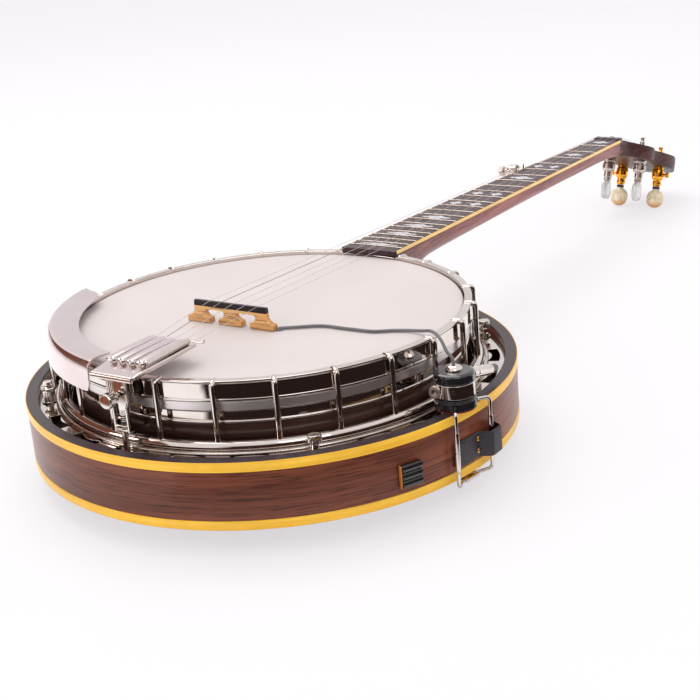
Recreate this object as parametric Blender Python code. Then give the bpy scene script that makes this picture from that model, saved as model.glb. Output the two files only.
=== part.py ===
"""Five-string resonator banjo with a clamp-on pickup jack.

Frame: metres, +Z up. The origin is where the pot's axis meets the flat middle
of the resonator back. +Y runs along the neck to the peghead, and +X is the
treble side. The pot parts are turned about Z and stacked upwards. Heights are
measured from a datum plane just under the sidewall, and the finished model is
lifted so that the crown of the arched back lies at z = 0.
"""

import math

import bmesh
import bpy
from mathutils import Matrix, Vector

# ---------------------------------------------------------------- driving sizes
SEGMENTS = 48                 # sides of each large ring
GAP = 0.0003                  # air between touching pieces

RESONATOR_R = 0.1765          # outer radius over the bindings
RESONATOR_TOP = 0.0505
BINDING_T = 0.0028
BINDING_H = 0.0065
BACK_FLAT_R = 0.070           # the back is flat inside this radius
BACK_CROWN = 0.0130           # how far the back's flat middle lies below the datum
BACK_EDGE = 0.0054            # height of the back's lower edge above the datum
BACK_T = 0.0036
SIDEWALL_T = 0.0085

RIM_R = 0.1412                # outer radius of the wooden rim
RIM_INNER_R = 0.1280
RIM_BOTTOM = 0.0180
RIM_TOP = 0.0620
SKIRT_R = 0.1430              # outer radius of the tone ring's skirt
RING_R = 0.1396               # radius that the head is stretched over
FLESH_BOTTOM = 0.0716         # lower edge of the head's metal collar
FLESH_R = 0.1455
HOOP_BOTTOM = 0.0782
HOOP_TOP = 0.0920
HOOP_R = 0.1465
HOOP_INNER_R = 0.1410
HEAD_TOP = 0.0897

HOOK_R = 0.0021
HOOK_LINE_R = 0.1490          # radius of the circle of hook shafts
HOOK_FIRST = 22.5             # angle from the neck to the first regular hook
HOOK_STEP = 15.0
HOOK_COUNT = 24
NECK_HOOK_ANGLE = 11.5        # the two hooks beside the neck
HOOK_BOTTOM = 0.0342
TUBE_R = 0.0040
TUBE_Z = 0.0492
PLATE_TOP = 0.0448
PLATE_T = 0.0013
PLATE_INNER_R = 0.1445
PLATE_OUTER_R = 0.1676
SLOT_INNER_R = 0.1565
SLOT_OUTER_R = 0.1640

SCALE = 0.66675               # nut to bridge
BRIDGE_Y = -0.0370
BRIDGE_SHIFT = -0.0030
BRIDGE_H = 0.0158
NUT_Y = BRIDGE_Y + SCALE
NUT_T = 0.0045
BOARD_END_Y = 0.1380
BOARD_END_Z = 0.0960          # top of the fingerboard over the hoop
BOARD_NUT_Z = 0.0828
BOARD_T = 0.0040
BOARD_END_HALF = 0.0255
BOARD_NUT_HALF = 0.0155
NECK_START_Y = 0.1500
HEEL_BOTTOM = 0.0590
PEGHEAD_ANGLE = math.radians(20.5)
PEGHEAD_T = 0.0140
TUNER_PAIRS = ((0.052, 0.0180), (0.103, 0.0215))   # distance from nut, half spacing

JACK_ANGLE = 99.5
JACK_LINE_R = 0.1680
JACK_R = 0.0138


def polar(radius, degrees, z=0.0):
    """Point at an angle measured from the neck (+Y) towards the treble side (+X)."""
    angle = math.radians(degrees)
    return Vector((radius * math.sin(angle), radius * math.cos(angle), z))


def board_z(y):
    """Height of the fingerboard's top surface."""
    t = (y - BOARD_END_Y) / (NUT_Y - BOARD_END_Y)
    return BOARD_END_Z + (BOARD_NUT_Z - BOARD_END_Z) * t


def fret_y(number):
    """Place of a fret, by the equal-tempered rule."""
    return BRIDGE_Y + SCALE * 2.0 ** (-number / 12.0)


# ---------------------------------------------------------------- materials
PALETTE = {
    "mahogany": ((0.105, 0.035, 0.022), 0.0, 0.30),
    "amber_binding": ((0.80, 0.47, 0.09), 0.0, 0.30),
    "maple": ((0.66, 0.36, 0.14), 0.0, 0.45),
    "ebony": ((0.020, 0.014, 0.014), 0.0, 0.40),
    "bone": ((0.75, 0.70, 0.58), 0.0, 0.35),
    "head_film": ((0.80, 0.77, 0.74), 0.0, 0.60),
    "nickel": ((0.72, 0.68, 0.64), 1.0, 0.16),
    "steel_wire": ((0.70, 0.69, 0.67), 1.0, 0.25),
    "gold": ((0.85, 0.48, 0.12), 1.0, 0.22),
    "pearl_button": ((0.62, 0.50, 0.28), 0.0, 0.25),
    "clear_button": ((0.80, 0.79, 0.76), 0.0, 0.20),
    "black_plastic": ((0.012, 0.011, 0.013), 0.0, 0.35),
    "black_leather": ((0.035, 0.028, 0.036), 0.0, 0.50),
    "grey_cable": ((0.22, 0.21, 0.22), 0.0, 0.50),
}


def material(name):
    """The named material, made once."""
    found = bpy.data.materials.get(name)
    if found:
        return found
    color, metallic, roughness = PALETTE[name]
    made = bpy.data.materials.new(name)
    made.use_nodes = True
    shader = made.node_tree.nodes["Principled BSDF"]
    shader.inputs["Base Color"].default_value = (*color, 1.0)
    shader.inputs["Metallic"].default_value = metallic
    shader.inputs["Roughness"].default_value = roughness
    return made


# ---------------------------------------------------------------- mesh helpers
def mesh_object(name, points, faces, material_name, smooth=True):
    """Object from points and faces, with its faces turned outwards."""
    mesh = bpy.data.meshes.new(name)
    mesh.from_pydata([tuple(point) for point in points], [], faces)
    work = bmesh.new()
    work.from_mesh(mesh)
    bmesh.ops.recalc_face_normals(work, faces=work.faces)
    work.to_mesh(mesh)
    work.free()
    if smooth:
        mesh.shade_smooth()
        mesh.set_sharp_from_angle(angle=math.radians(35.0))
    made = bpy.data.objects.new(name, mesh)
    bpy.context.collection.objects.link(made)
    made.data.materials.append(material(material_name))
    return made


def ring_solid(name, profile, material_name, segments=SEGMENTS):
    """Closed ring: a closed (radius, z) outline turned about Z."""
    points = []
    for step in range(segments):
        angle = 2.0 * math.pi * step / segments
        for radius, z in profile:
            points.append((radius * math.cos(angle), radius * math.sin(angle), z))
    count = len(profile)
    faces = []
    for step in range(segments):
        here = step * count
        there = ((step + 1) % segments) * count
        for k in range(count):
            n = (k + 1) % count
            faces.append((here + k, here + n, there + n, there + k))
    return mesh_object(name, points, faces, material_name)


def loft(name, sections, material_name, smooth=True):
    """Closed solid through loops of points that all have the same count."""
    count = len(sections[0])
    points = [point for section in sections for point in section]
    faces = []
    for s in range(len(sections) - 1):
        for k in range(count):
            n = (k + 1) % count
            a = s * count
            faces.append((a + k, a + n, a + count + n, a + count + k))
    last = (len(sections) - 1) * count
    faces.append(tuple(range(count)))
    faces.append(tuple(last + k for k in range(count)))
    return mesh_object(name, points, faces, material_name, smooth)


def frame_at(origin, axis, side=Vector((1.0, 0.0, 0.0))):
    """Placement whose local Z is the axis and whose local X lies towards side."""
    z_axis = Vector(axis).normalized()
    x_axis = (side - z_axis * side.dot(z_axis)).normalized()
    y_axis = z_axis.cross(x_axis)
    basis = Matrix((x_axis, y_axis, z_axis)).transposed().to_4x4()
    return Matrix.Translation(origin) @ basis


def turned(name, profile, origin, axis, material_name, segments=12):
    """Round piece about an axis. profile lists (radius, distance along the axis)."""
    sections = []
    for radius, along in profile:
        loop = []
        for step in range(segments):
            angle = 2.0 * math.pi * step / segments
            loop.append((radius * math.cos(angle), radius * math.sin(angle), along))
        sections.append(loop)
    made = loft(name, sections, material_name)
    made.matrix_world = frame_at(origin, axis)
    return made


def block(name, low, high, material_name):
    """Box between two corners, in world space."""
    corners = [(low[0], low[1]), (high[0], low[1]), (high[0], high[1]), (low[0], high[1])]
    sections = [[(x, y, z) for x, y in corners] for z in (low[2], high[2])]
    return loft(name, sections, material_name, smooth=False)


def smooth_route(route, spacing):
    """Points a set distance apart along a smooth curve through the route."""
    ends = [route[0] * 2.0 - route[1]] + list(route) + [route[-1] * 2.0 - route[-2]]
    fine = []
    for k in range(1, len(ends) - 2):
        before, start, stop, after = ends[k - 1:k + 3]
        for step in range(12):
            t = step / 12.0
            blend = (start * 2.0
                     + (stop - before) * t
                     + (before * 2.0 - start * 5.0 + stop * 4.0 - after) * t ** 2
                     + (start * 3.0 - before - stop * 3.0 + after) * t ** 3)
            fine.append(blend * 0.5)
    fine.append(route[-1])
    length = sum((b - a).length for a, b in zip(fine, fine[1:]))
    steps = max(2, round(length / spacing))
    picked = [fine[0]]
    travelled = 0.0
    for a, b in zip(fine, fine[1:]):
        piece = (b - a).length
        while len(picked) < steps and travelled + piece >= len(picked) * length / steps:
            picked.append(a.lerp(b, (len(picked) * length / steps - travelled) / piece))
        travelled += piece
    picked.append(fine[-1])
    return picked


def tube(name, points, radius, material_name, resolution=2):
    """Round tube along the points, as a curve with filled caps."""
    curve = bpy.data.curves.new(name, "CURVE")
    curve.dimensions = "3D"
    curve.bevel_depth = radius
    curve.bevel_resolution = resolution
    curve.render_resolution_u = 0
    curve.use_fill_caps = True
    spline = curve.splines.new("POLY")
    spline.points.add(len(points) - 1)
    for target, point in zip(spline.points, points):
        target.co = (*point, 1.0)
    made = bpy.data.objects.new(name, curve)
    bpy.context.collection.objects.link(made)
    made.data.materials.append(material(material_name))
    return made


def rod_along(name, points, radius, material_name, sides=8):
    """Bent rod as a mesh, so that it can be joined to another solid."""
    sections = []
    side = Vector((0.0, 0.0, 1.0))
    for k, point in enumerate(points):
        ahead = points[min(k + 1, len(points) - 1)]
        behind = points[max(k - 1, 0)]
        direction = (ahead - behind).normalized()
        side = (side - direction * side.dot(direction)).normalized()
        if side.length < 0.5:
            side = Vector((1.0, 0.0, 0.0))
        other = direction.cross(side)
        loop = []
        for step in range(sides):
            angle = 2.0 * math.pi * step / sides
            loop.append(point + (side * math.cos(angle) + other * math.sin(angle)) * radius)
        sections.append(loop)
    return loft(name, sections, material_name)


def boolean(target, cutter, operation="DIFFERENCE"):
    """Cut the target with the cutter, or join the cutter to it."""
    modifier = target.modifiers.new(cutter.name, "BOOLEAN")
    modifier.operation = operation
    modifier.object = cutter
    modifier.solver = "EXACT"
    cutter.display_type = "WIRE"
    cutter.hide_render = True
    return target


def merged_cutter(name, cylinders, sides=8):
    """One guide object holding a cylinder for each (centre, axis, radius, length)."""
    points = []
    faces = []
    for centre, axis, radius, length in cylinders:
        place = frame_at(centre, axis)
        base = len(points)
        for along in (-0.5 * length, 0.5 * length):
            for step in range(sides):
                angle = 2.0 * math.pi * step / sides
                local = Vector((radius * math.cos(angle), radius * math.sin(angle), along))
                points.append(place @ local)
        faces.append(tuple(base + k for k in range(sides)))
        faces.append(tuple(base + sides + k for k in range(sides)))
        for k in range(sides):
            n = (k + 1) % sides
            faces.append((base + k, base + n, base + sides + n, base + sides + k))
    return mesh_object(name, points, faces, "nickel")


# ---------------------------------------------------------------- resonator
def build_resonator():
    """Back, sidewall and the two amber bindings."""
    edge_r = RESONATOR_R - BINDING_T - 2.0 * GAP
    steps = 4
    lower = []
    for k in range(steps + 1):
        t = k / steps
        rise = (BACK_EDGE + BACK_CROWN) * t ** 1.5
        lower.append((BACK_FLAT_R + (edge_r - BACK_FLAT_R) * t, rise - BACK_CROWN))
    upper = [(radius, z + BACK_T) for radius, z in reversed(lower)]
    sections = []
    for radius, z in lower + upper:
        sections.append([polar(radius, 360.0 * k / SEGMENTS, z) for k in range(SEGMENTS)])
    loft("resonator_back", sections, "mahogany")

    inner = RESONATOR_R - SIDEWALL_T
    rebate = RESONATOR_R - BINDING_T - GAP
    wall = RESONATOR_R - GAP
    bottom = BACK_EDGE + BACK_T + GAP
    low_band = bottom - BACK_T - 2.0 * GAP - 0.0005
    low_top = low_band + BINDING_H
    high_band = RESONATOR_TOP - BINDING_H
    profile = [
        (inner, bottom), (rebate, bottom), (rebate, low_top + GAP), (wall, low_top + GAP),
        (wall, high_band - GAP), (rebate, high_band - GAP), (rebate, RESONATOR_TOP),
        (inner, RESONATOR_TOP),
    ]
    ring_solid("resonator_sidewall", profile, "mahogany")
    inside = RESONATOR_R - BINDING_T
    for name, z in (("resonator_top_binding", high_band), ("resonator_bottom_binding", low_band)):
        band = [(inside, z), (RESONATOR_R, z), (RESONATOR_R, z + BINDING_H), (inside, z + BINDING_H)]
        ring_solid(name, band, "amber_binding")


# ---------------------------------------------------------------- pot
def hook_angles():
    """Angles of the regular hooks, with the two beside the neck moved outwards."""
    angles = [NECK_HOOK_ANGLE, -NECK_HOOK_ANGLE]
    for k in range(HOOK_COUNT - 2):
        angles.append(HOOK_FIRST + HOOK_STEP * k)
    return angles


def build_rim_and_ring():
    """Wooden rim, tone ring and drum head with its metal collar."""
    rim = [(RIM_INNER_R, RIM_BOTTOM), (RIM_R, RIM_BOTTOM), (RIM_R, RIM_TOP), (RIM_INNER_R, RIM_TOP)]
    ring_solid("wood_rim", rim, "mahogany")

    base = RIM_TOP + GAP
    shoulder = FLESH_BOTTOM - 0.0005
    tone = [
        (RIM_INNER_R + 0.0005, base), (SKIRT_R, base), (SKIRT_R, shoulder - 0.0008),
        (RING_R, shoulder), (RING_R, HEAD_TOP - 0.0016), (RING_R - 0.0020, HEAD_TOP - 0.0008),
        (RIM_INNER_R + 0.0005, HEAD_TOP - 0.0070),
    ]
    ring_solid("tone_ring", tone, "nickel")

    skin = 0.0005
    inner = RING_R + GAP
    outline = [
        (inner - 0.0012, HEAD_TOP - skin), (inner, HEAD_TOP - 0.0014), (inner, FLESH_BOTTOM),
        (FLESH_R, FLESH_BOTTOM), (FLESH_R, HOOP_BOTTOM - GAP), (inner + skin, HOOP_BOTTOM - GAP),
        (inner + skin, HEAD_TOP - 0.0010), (inner - 0.0006, HEAD_TOP),
    ]
    sections = []
    for radius, z in outline:
        sections.append([polar(radius, 360.0 * k / SEGMENTS, z) for k in range(SEGMENTS)])
    loft("drum_head", sections, "head_film")


def hook_path(degrees):
    """Centre line of one hook, from its tip on the hoop down to its threaded end."""
    tip_r = 0.5 * (HOOP_INNER_R + HOOP_R)
    top = HOOP_TOP - 0.0010
    points = [
        polar(tip_r, degrees, top),
        polar(HOOK_LINE_R - 0.0008, degrees, top),
        polar(HOOK_LINE_R, degrees, top - 0.0012),
        polar(HOOK_LINE_R, degrees, HOOK_BOTTOM),
    ]
    return points


def build_tension_hoop():
    """Hoop, its 24 hooks and their nuts, which pull the head down as one piece."""
    profile = [
        (HOOP_INNER_R, HOOP_BOTTOM), (HOOP_R, HOOP_BOTTOM), (HOOP_R, HOOP_TOP),
        (HOOP_INNER_R, HOOP_TOP),
    ]
    hoop = ring_solid("tension_hoop", profile, "nickel")
    notch = block(
        "neck_notch", (-BOARD_END_HALF - 0.0008, 0.12, HOOP_TOP - 0.0014),
        (BOARD_END_HALF + 0.0008, 0.16, HOOP_TOP + 0.01), "nickel")
    boolean(hoop, notch)
    for number, degrees in enumerate(hook_angles()):
        hook = rod_along("hook_guide_%d" % number, hook_path(degrees), HOOK_R, "nickel", 5)
        boolean(hoop, hook, "UNION")
        nut_low = polar(HOOK_LINE_R, degrees, HOOK_BOTTOM + 0.0020)
        profile_nut = [(0.0040, 0.0), (0.0040, 0.0068)]
        nut = turned("nut_guide_%d" % number, profile_nut, nut_low, (0, 0, 1), "nickel", 6)
        boolean(hoop, nut, "UNION")


def build_flange():
    """Tube and slotted plate, with clearance holes for the hooks and thumbscrews."""
    ring = []
    for k in range(6):
        angle = math.pi * k / 3.0
        ring.append((HOOK_LINE_R + TUBE_R * math.cos(angle), TUBE_Z + TUBE_R * math.sin(angle)))
    flange_tube = ring_solid("flange_tube", ring, "nickel")

    radii = (PLATE_INNER_R, SLOT_INNER_R, SLOT_OUTER_R, PLATE_OUTER_R)
    cells = HOOK_COUNT
    breaks = (0.0, 3.0, 12.0)
    angles = [HOOK_STEP * cell + offset + 7.5 for cell in range(cells) for offset in breaks]
    count = len(angles)
    points = []
    for z in (PLATE_TOP - PLATE_T, PLATE_TOP):
        for radius in radii:
            points.extend(polar(radius, angle, z) for angle in angles)
    rows = len(radii)

    def index(level, row, step):
        return (level * rows + row) * count + step % count

    def is_open(row, step):
        cell, part = divmod(step % count, len(breaks))
        solid_cell = cell % 6 == 2
        return row == 1 and part == 1 and not solid_cell

    faces = []
    for row in range(rows - 1):
        for step in range(count):
            if is_open(row, step):
                continue
            for level in (0, 1):
                faces.append((index(level, row, step), index(level, row, step + 1),
                              index(level, row + 1, step + 1), index(level, row + 1, step)))
            sides = (
                (row == 0 or is_open(row - 1, step), (row, step), (row, step + 1)),
                (row == rows - 2 or is_open(row + 1, step), (row + 1, step), (row + 1, step + 1)),
                (is_open(row, step - 1), (row, step), (row + 1, step)),
                (is_open(row, step + 1), (row, step + 1), (row + 1, step + 1)),
            )
            for exposed, first, second in sides:
                if exposed:
                    faces.append((index(0, *first), index(0, *second),
                                  index(1, *second), index(1, *first)))
    plate = mesh_object("flange_plate", points, faces, "nickel")

    holes = []
    for degrees in hook_angles():
        holes.append((polar(HOOK_LINE_R, degrees, TUBE_Z), (0, 0, 1), HOOK_R + 0.0013, 0.03))
    boolean(flange_tube, merged_cutter("hook_holes_tube", holes, 4))
    for degrees in (45.0, 135.0, 225.0, 315.0):
        holes.append((polar(0.1605, degrees, PLATE_TOP), (0, 0, 1), 0.0032, 0.02))
    boolean(plate, merged_cutter("hook_holes_plate", holes, 4))

    for number, degrees in enumerate((45.0, 135.0, 225.0, 315.0), start=1):
        profile = [
            (0.0020, -0.0100), (0.0020, 0.0003), (0.0034, 0.0003), (0.0034, 0.0062),
            (0.0046, 0.0066), (0.0046, 0.0122), (0.0040, 0.0130),
        ]
        place = polar(0.1605, degrees, PLATE_TOP)
        turned("resonator_screw_%d" % number, profile, place, (0, 0, 1), "nickel", 10)


def build_coordinator_rods():
    """The two rods across the inside of the rim that hold the neck to it."""
    reach = RIM_INNER_R - 2.0 * GAP
    for name, z in (("coordinator_rod_upper", 0.0560), ("coordinator_rod_lower", 0.0340)):
        profile = [
            (0.0062, -reach), (0.0062, -reach + 0.006), (0.0048, -reach + 0.006),
            (0.0048, reach - 0.006), (0.0062, reach - 0.006), (0.0062, reach),
        ]
        turned(name, profile, Vector((0, 0, z)), (0, 1, 0), "steel_wire", 10)


# ---------------------------------------------------------------- neck
FIFTH_PEG_Y = fret_y(5) + 0.0120
SHOULDER_Y = FIFTH_PEG_Y + 0.0140


def half_widths(y):
    """Half width of the neck on the bass and on the treble side."""
    t = (y - BOARD_END_Y) / (NUT_Y - BOARD_END_Y)
    treble = BOARD_END_HALF + (BOARD_NUT_HALF - BOARD_END_HALF) * t
    extra = 0.0030 * min(1.0, max(0.0, (y - BOARD_END_Y) / 0.20))
    blend = min(1.0, max(0.0, (y - SHOULDER_Y) / 0.0140))
    blend = blend * blend * (3.0 - 2.0 * blend)
    return treble + extra * (1.0 - blend), treble


def neck_section(y, bottom):
    """D-shaped loop at one place along the neck."""
    bass, treble = half_widths(y)
    inset = 0.0001
    bass -= inset
    treble -= inset
    top = board_z(y) - BOARD_T - GAP
    straight = top - 0.0030
    centre = 0.5 * (treble - bass)
    half = 0.5 * (treble + bass)
    loop = [(centre - half, y, top), (centre + half, y, top)]
    for k in range(11):
        angle = math.pi * k / 10.0
        x = centre + half * math.cos(angle)
        loop.append((x, y, straight - (straight - bottom) * math.sin(angle) ** 0.8))
    return loop


def peghead_frame():
    """Placement of the peghead: local X across, local Y along it, local Z out of its face."""
    origin = Vector((0.0, NUT_Y + NUT_T + 0.0012, board_z(NUT_Y) - BOARD_T + 0.0021))
    return Matrix.Translation(origin) @ Matrix.Rotation(-PEGHEAD_ANGLE, 4, "X")


def build_neck():
    """Neck shaft with its heel and peghead, the fingerboard and the nut."""
    stations = [
        (NECK_START_Y, HEEL_BOTTOM), (0.1600, HEEL_BOTTOM), (0.1700, HEEL_BOTTOM + 0.0004),
        (0.1790, HEEL_BOTTOM + 0.0036), (0.1880, 0.0672), (0.2000, 0.0702), (0.2200, 0.0712),
        (0.2600, 0.0711), (0.3600, 0.0705), (fret_y(5) - 0.01, 0.0693),
        (SHOULDER_Y, 0.0689), (SHOULDER_Y + 0.0047, 0.0688), (SHOULDER_Y + 0.0094, 0.0687),
        (SHOULDER_Y + 0.0140, 0.0686), (0.5600, 0.0672), (0.6000, 0.0655), (NUT_Y - 0.008, 0.0633),
        (NUT_Y + 0.0070, 0.0645),
    ]
    neck = loft("neck", [neck_section(y, z) for y, z in stations], "mahogany")

    outline = [
        (0.000, 0.0162), (0.014, 0.0180), (0.026, 0.0235), (0.038, 0.0292), (0.050, 0.0318),
        (0.060, 0.0308), (0.066, 0.0272), (0.074, 0.0262), (0.086, 0.0285), (0.100, 0.0322),
        (0.114, 0.0336), (0.127, 0.0318), (0.135, 0.0268), (0.145, 0.0252), (0.153, 0.0215),
        (0.159, 0.0110),
    ]
    place = peghead_frame()
    edge = [(half, along) for along, half in outline]
    edge += [(-half, along) for half, along in reversed(edge)]
    sections = []
    for depth in (-PEGHEAD_T, 0.0):
        sections.append([place @ Vector((x, y, depth)) for x, y in edge])
    peghead = loft("peghead_guide", sections, "mahogany")
    boolean(neck, peghead, "UNION")

    holes = []
    for along, half in TUNER_PAIRS:
        for sign in (-1.0, 1.0):
            centre = place @ Vector((sign * half, along, -0.5 * PEGHEAD_T))
            holes.append((centre, place.to_3x3() @ Vector((0, 0, 1)), 0.0040, 0.03))
    boolean(neck, merged_cutter("tuner_holes", holes, 10))

    tenon = block("tenon_guide", (-0.018, 0.1440, HEEL_BOTTOM), (0.018, 0.1520, 0.0704), "mahogany")
    boolean(neck, tenon, "UNION")

    board_stations = [BOARD_END_Y, 0.20, 0.30, 0.40]
    board_stations += [SHOULDER_Y + 0.0140 * k / 4.0 for k in range(5)]
    board_stations += [NUT_Y - 0.0004]
    sections = []
    for y in board_stations:
        bass, treble = half_widths(y)
        top = board_z(y)
        low = top - BOARD_T
        sections.append([(-bass, y, low), (treble, y, low), (treble, y, top), (-bass, y, top)])
    loft("fingerboard", sections, "ebony", smooth=False)

    top = board_z(NUT_Y)
    half = BOARD_NUT_HALF
    foot = top - BOARD_T
    arch = [(-half, foot), (half, foot)]
    arch += [(half, top + 0.0010), (0.5 * half, top + 0.0018), (-0.5 * half, top + 0.0018)]
    arch += [(-half, top + 0.0010)]
    sections = [[(x, y, z) for x, z in arch] for y in (NUT_Y, NUT_Y + NUT_T)]
    loft("nut", sections, "bone", smooth=False)

    cover = [(0.0090, 0.0065), (0.0070, 0.0240), (0.0, 0.0310), (-0.0070, 0.0240), (-0.0090, 0.0065)]
    sections = []
    for height in (GAP, GAP + 0.0018):
        sections.append([place @ Vector((x, y, height)) for x, y in cover])
    loft("truss_rod_cover", sections, "black_plastic", smooth=False)


# ---------------------------------------------------------------- tuners
def build_tuners():
    """Four geared tuners, each a fixed housing, a turning post and a turning button."""
    place = peghead_frame()
    normal = place.to_3x3() @ Vector((0, 0, 1))
    across = Vector((1.0, 0.0, 0.0))
    number = 0
    for along, half in TUNER_PAIRS:
        for sign in (-1.0, 1.0):
            number += 1
            far = along > 0.08
            metal = "gold" if far else "nickel"
            button = "pearl_button" if far else "clear_button"
            face = place @ Vector((sign * half, along, 0.0))
            back = face - normal * (PEGHEAD_T + GAP)
            body_r = 0.0068 if far else 0.0072
            stem = 0.0225 if far else 0.0210
            case = [
                (0.0050, 0.0), (body_r, 0.0), (body_r, -0.0124), (body_r - 0.0014, -0.0136),
                (0.0046, -0.0142), (0.0046, GAP - stem),
            ]
            turned("tuner_%d_housing" % number, case, back, normal, metal)
            tall = 0.0082 if far else 0.0112
            post = [
                (0.0030, -PEGHEAD_T), (0.0030, 0.0012), (0.0025, 0.0016), (0.0025, tall - 0.0044),
                (0.0020, tall - 0.0038), (0.0020, tall - 0.0020), (0.0025, tall - 0.0014),
                (0.0025, tall),
            ]
            turned("tuner_%d_post" % number, post, face, normal, metal, 10)
            knob = build_button("tuner_%d_button" % number, button)
            side = across if far else Vector((0.0, 1.0, 0.0))
            knob.matrix_world = frame_at(back - normal * stem, -normal, side)


def build_button(name, material_name):
    """Flattened oval button on its short stem, pointing along local +Z."""
    profile = [
        (0.0030, 0.0030, 0.0), (0.0030, 0.0030, 0.0036), (0.0078, 0.0044, 0.0062),
        (0.0100, 0.0048, 0.0112), (0.0098, 0.0048, 0.0166), (0.0076, 0.0042, 0.0212),
        (0.0036, 0.0030, 0.0235),
    ]
    sides = 12
    sections = []
    for wide, thick, along in profile:
        loop = []
        for step in range(sides):
            angle = 2.0 * math.pi * step / sides
            loop.append((wide * math.cos(angle), thick * math.sin(angle), along))
        sections.append(loop)
    return loft(name, sections, material_name)


def build_fifth_tuner():
    """Geared peg on the bass side of the neck, for the short fifth string."""
    bass, _ = half_widths(FIFTH_PEG_Y)
    tilt = math.radians(4.0)
    axis = Vector((-math.cos(tilt), 0.0, -math.sin(tilt)))
    start = Vector((-bass, FIFTH_PEG_Y, board_z(FIFTH_PEG_Y) - 0.0046)) + axis * 0.0006
    post = [(0.0040, 0.0), (0.0040, 0.0010), (0.0028, 0.0016), (0.0028, 0.0070), (0.0036, 0.0078),
            (0.0036, 0.0092)]
    turned("fifth_tuner_post", post, start, axis, "nickel", 10)
    housing = [(0.0052, 0.0095), (0.0064, 0.0102), (0.0064, 0.0180), (0.0052, 0.0194),
               (0.0030, 0.0200), (0.0030, 0.0212)]
    turned("fifth_tuner_housing", housing, start, axis, "nickel")
    button = [(0.0024, 0.0215), (0.0024, 0.0232), (0.0044, 0.0240), (0.0052, 0.0258),
              (0.0052, 0.0278), (0.0038, 0.0294)]
    turned("fifth_tuner_button", button, start, axis, "nickel", 10)


# ---------------------------------------------------------------- strings and bridge
def build_bridge():
    """Three-footed maple bridge with an ebony top edge."""
    top = HEAD_TOP + BRIDGE_H
    low = HEAD_TOP + GAP
    toe, waist, cap = 0.0370, 0.0310, 0.0313
    outline = [(-toe, low), (-toe, low + 0.0040), (-waist, low + 0.0066), (-cap, top),
               (cap, top), (waist, low + 0.0066), (toe, low + 0.0040), (toe, low)]
    for middle in (0.0136, -0.0136):
        outline += [(middle + 0.0037, low), (middle + 0.0037, low + 0.0042), (middle + 0.0084, low + 0.0070),
                    (middle + 0.0080, low + 0.0094), (middle - 0.0080, low + 0.0094),
                    (middle - 0.0084, low + 0.0070), (middle - 0.0037, low + 0.0042), (middle - 0.0037, low)]
    sections = []
    for side in (-1.0, 1.0):
        loop = []
        for x, z in outline:
            t = (z - low) / (top - low)
            loop.append((x + BRIDGE_SHIFT, BRIDGE_Y + side * (0.0032 - 0.0020 * t), z))
        sections.append(loop)
    loft("bridge", sections, "maple", smooth=False)


TAIL_TIP_Y = -0.1005
TAIL_TIP_Z = 0.1018


def build_strings():
    """Five steel strings from the tailpiece over the bridge to their posts."""
    place = peghead_frame()
    crown = HEAD_TOP + BRIDGE_H + GAP
    rest = board_z(NUT_Y) + 0.0018 + GAP
    diameters = (0.00025, 0.00028, 0.00033, 0.00051, 0.00025)
    posts = ((0, 1), (1, 1), (1, -1), (0, -1))
    for number, gauge in enumerate(diameters, start=1):
        radius = 0.5 * gauge
        bridge_x = 0.0103 * (3 - number)
        tail_x = 0.0079 * (3 - number)
        route = [
            Vector((tail_x, TAIL_TIP_Y + 0.0004, TAIL_TIP_Z)),
            Vector((bridge_x, BRIDGE_Y - 0.0012, crown + radius)),
            Vector((bridge_x, BRIDGE_Y + 0.0012, crown + radius)),
        ]
        if number == 5:
            y = fret_y(5) - 0.0010
            bass, _ = half_widths(y)
            route.append(Vector((-bass + 0.0030, y, board_z(y) + 0.0030)))
            route.append(Vector((-bass - 0.0022, FIFTH_PEG_Y - 0.0036, board_z(y) - 0.0010)))
        else:
            pair, sign = posts[number - 1]
            along, half = TUNER_PAIRS[pair]
            nut_x = 0.0080 * (2.5 - number)
            route.append(Vector((nut_x, NUT_Y - 0.0002, rest + radius)))
            route.append(Vector((nut_x, NUT_Y + 0.0047, rest + radius)))
            inner = half - 0.0036 - radius
            route.append(place @ Vector((sign * inner, along, 0.0034)))
        points = []
        for first, second in zip(route, route[1:]):
            points.append(first)
            if (second - first).length > 0.08:
                points.append(first.lerp(second, 0.5))
        points.append(route[-1])
        tube("string_%d" % number, points, radius, "steel_wire")


# ---------------------------------------------------------------- tail hardware
def build_tailpiece():
    """Tailpiece, the bracket that holds it behind the hoop, and its adjusting screw."""
    rear = -0.1685
    sections = []
    for y, half, low, high in (
            (rear, 0.0205, 0.0988, 0.1023), (-0.1480, 0.0215, 0.0990, 0.1030),
            (-0.1440, 0.0215, 0.0992, 0.1045), (TAIL_TIP_Y, 0.0205, 0.0998, 0.1040)):
        sections.append([(-half, y, low), (half, y, low), (half, y, high), (-half, y, high)])
    loft("tailpiece", sections, "nickel", smooth=False)

    side = [
        (-0.1434, 0.0590), (-0.1434, 0.0704), (-0.1478, 0.0704), (-0.1478, 0.0790),
        (-0.1500, 0.0830), (-0.1560, 0.0984), (-0.1600, 0.0984), (-0.1600, 0.0790),
        (-0.1620, 0.0760), (-0.1620, 0.0590),
    ]
    sections = [[(x, y, z) for y, z in side] for x in (-0.0062, 0.0062)]
    bracket = loft("tailpiece_bracket", sections, "nickel", smooth=False)
    bolt = turned("bolt_guide", [(0.0021, 0.0), (0.0021, 0.0230)], Vector((0, -0.1595, 0.0380)),
                  (0, 0, 1), "nickel", 8)
    boolean(bracket, bolt, "UNION")

    profile = [(0.0022, 0.0), (0.0022, 0.0020), (0.0036, 0.0024), (0.0036, 0.0062),
               (0.0052, 0.0066), (0.0052, 0.0112), (0.0046, 0.0118)]
    place = Vector((-0.0010, -0.1603, 0.0835))
    turned("tailpiece_adjuster", profile, place, (0, -1, 0), "nickel")


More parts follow.
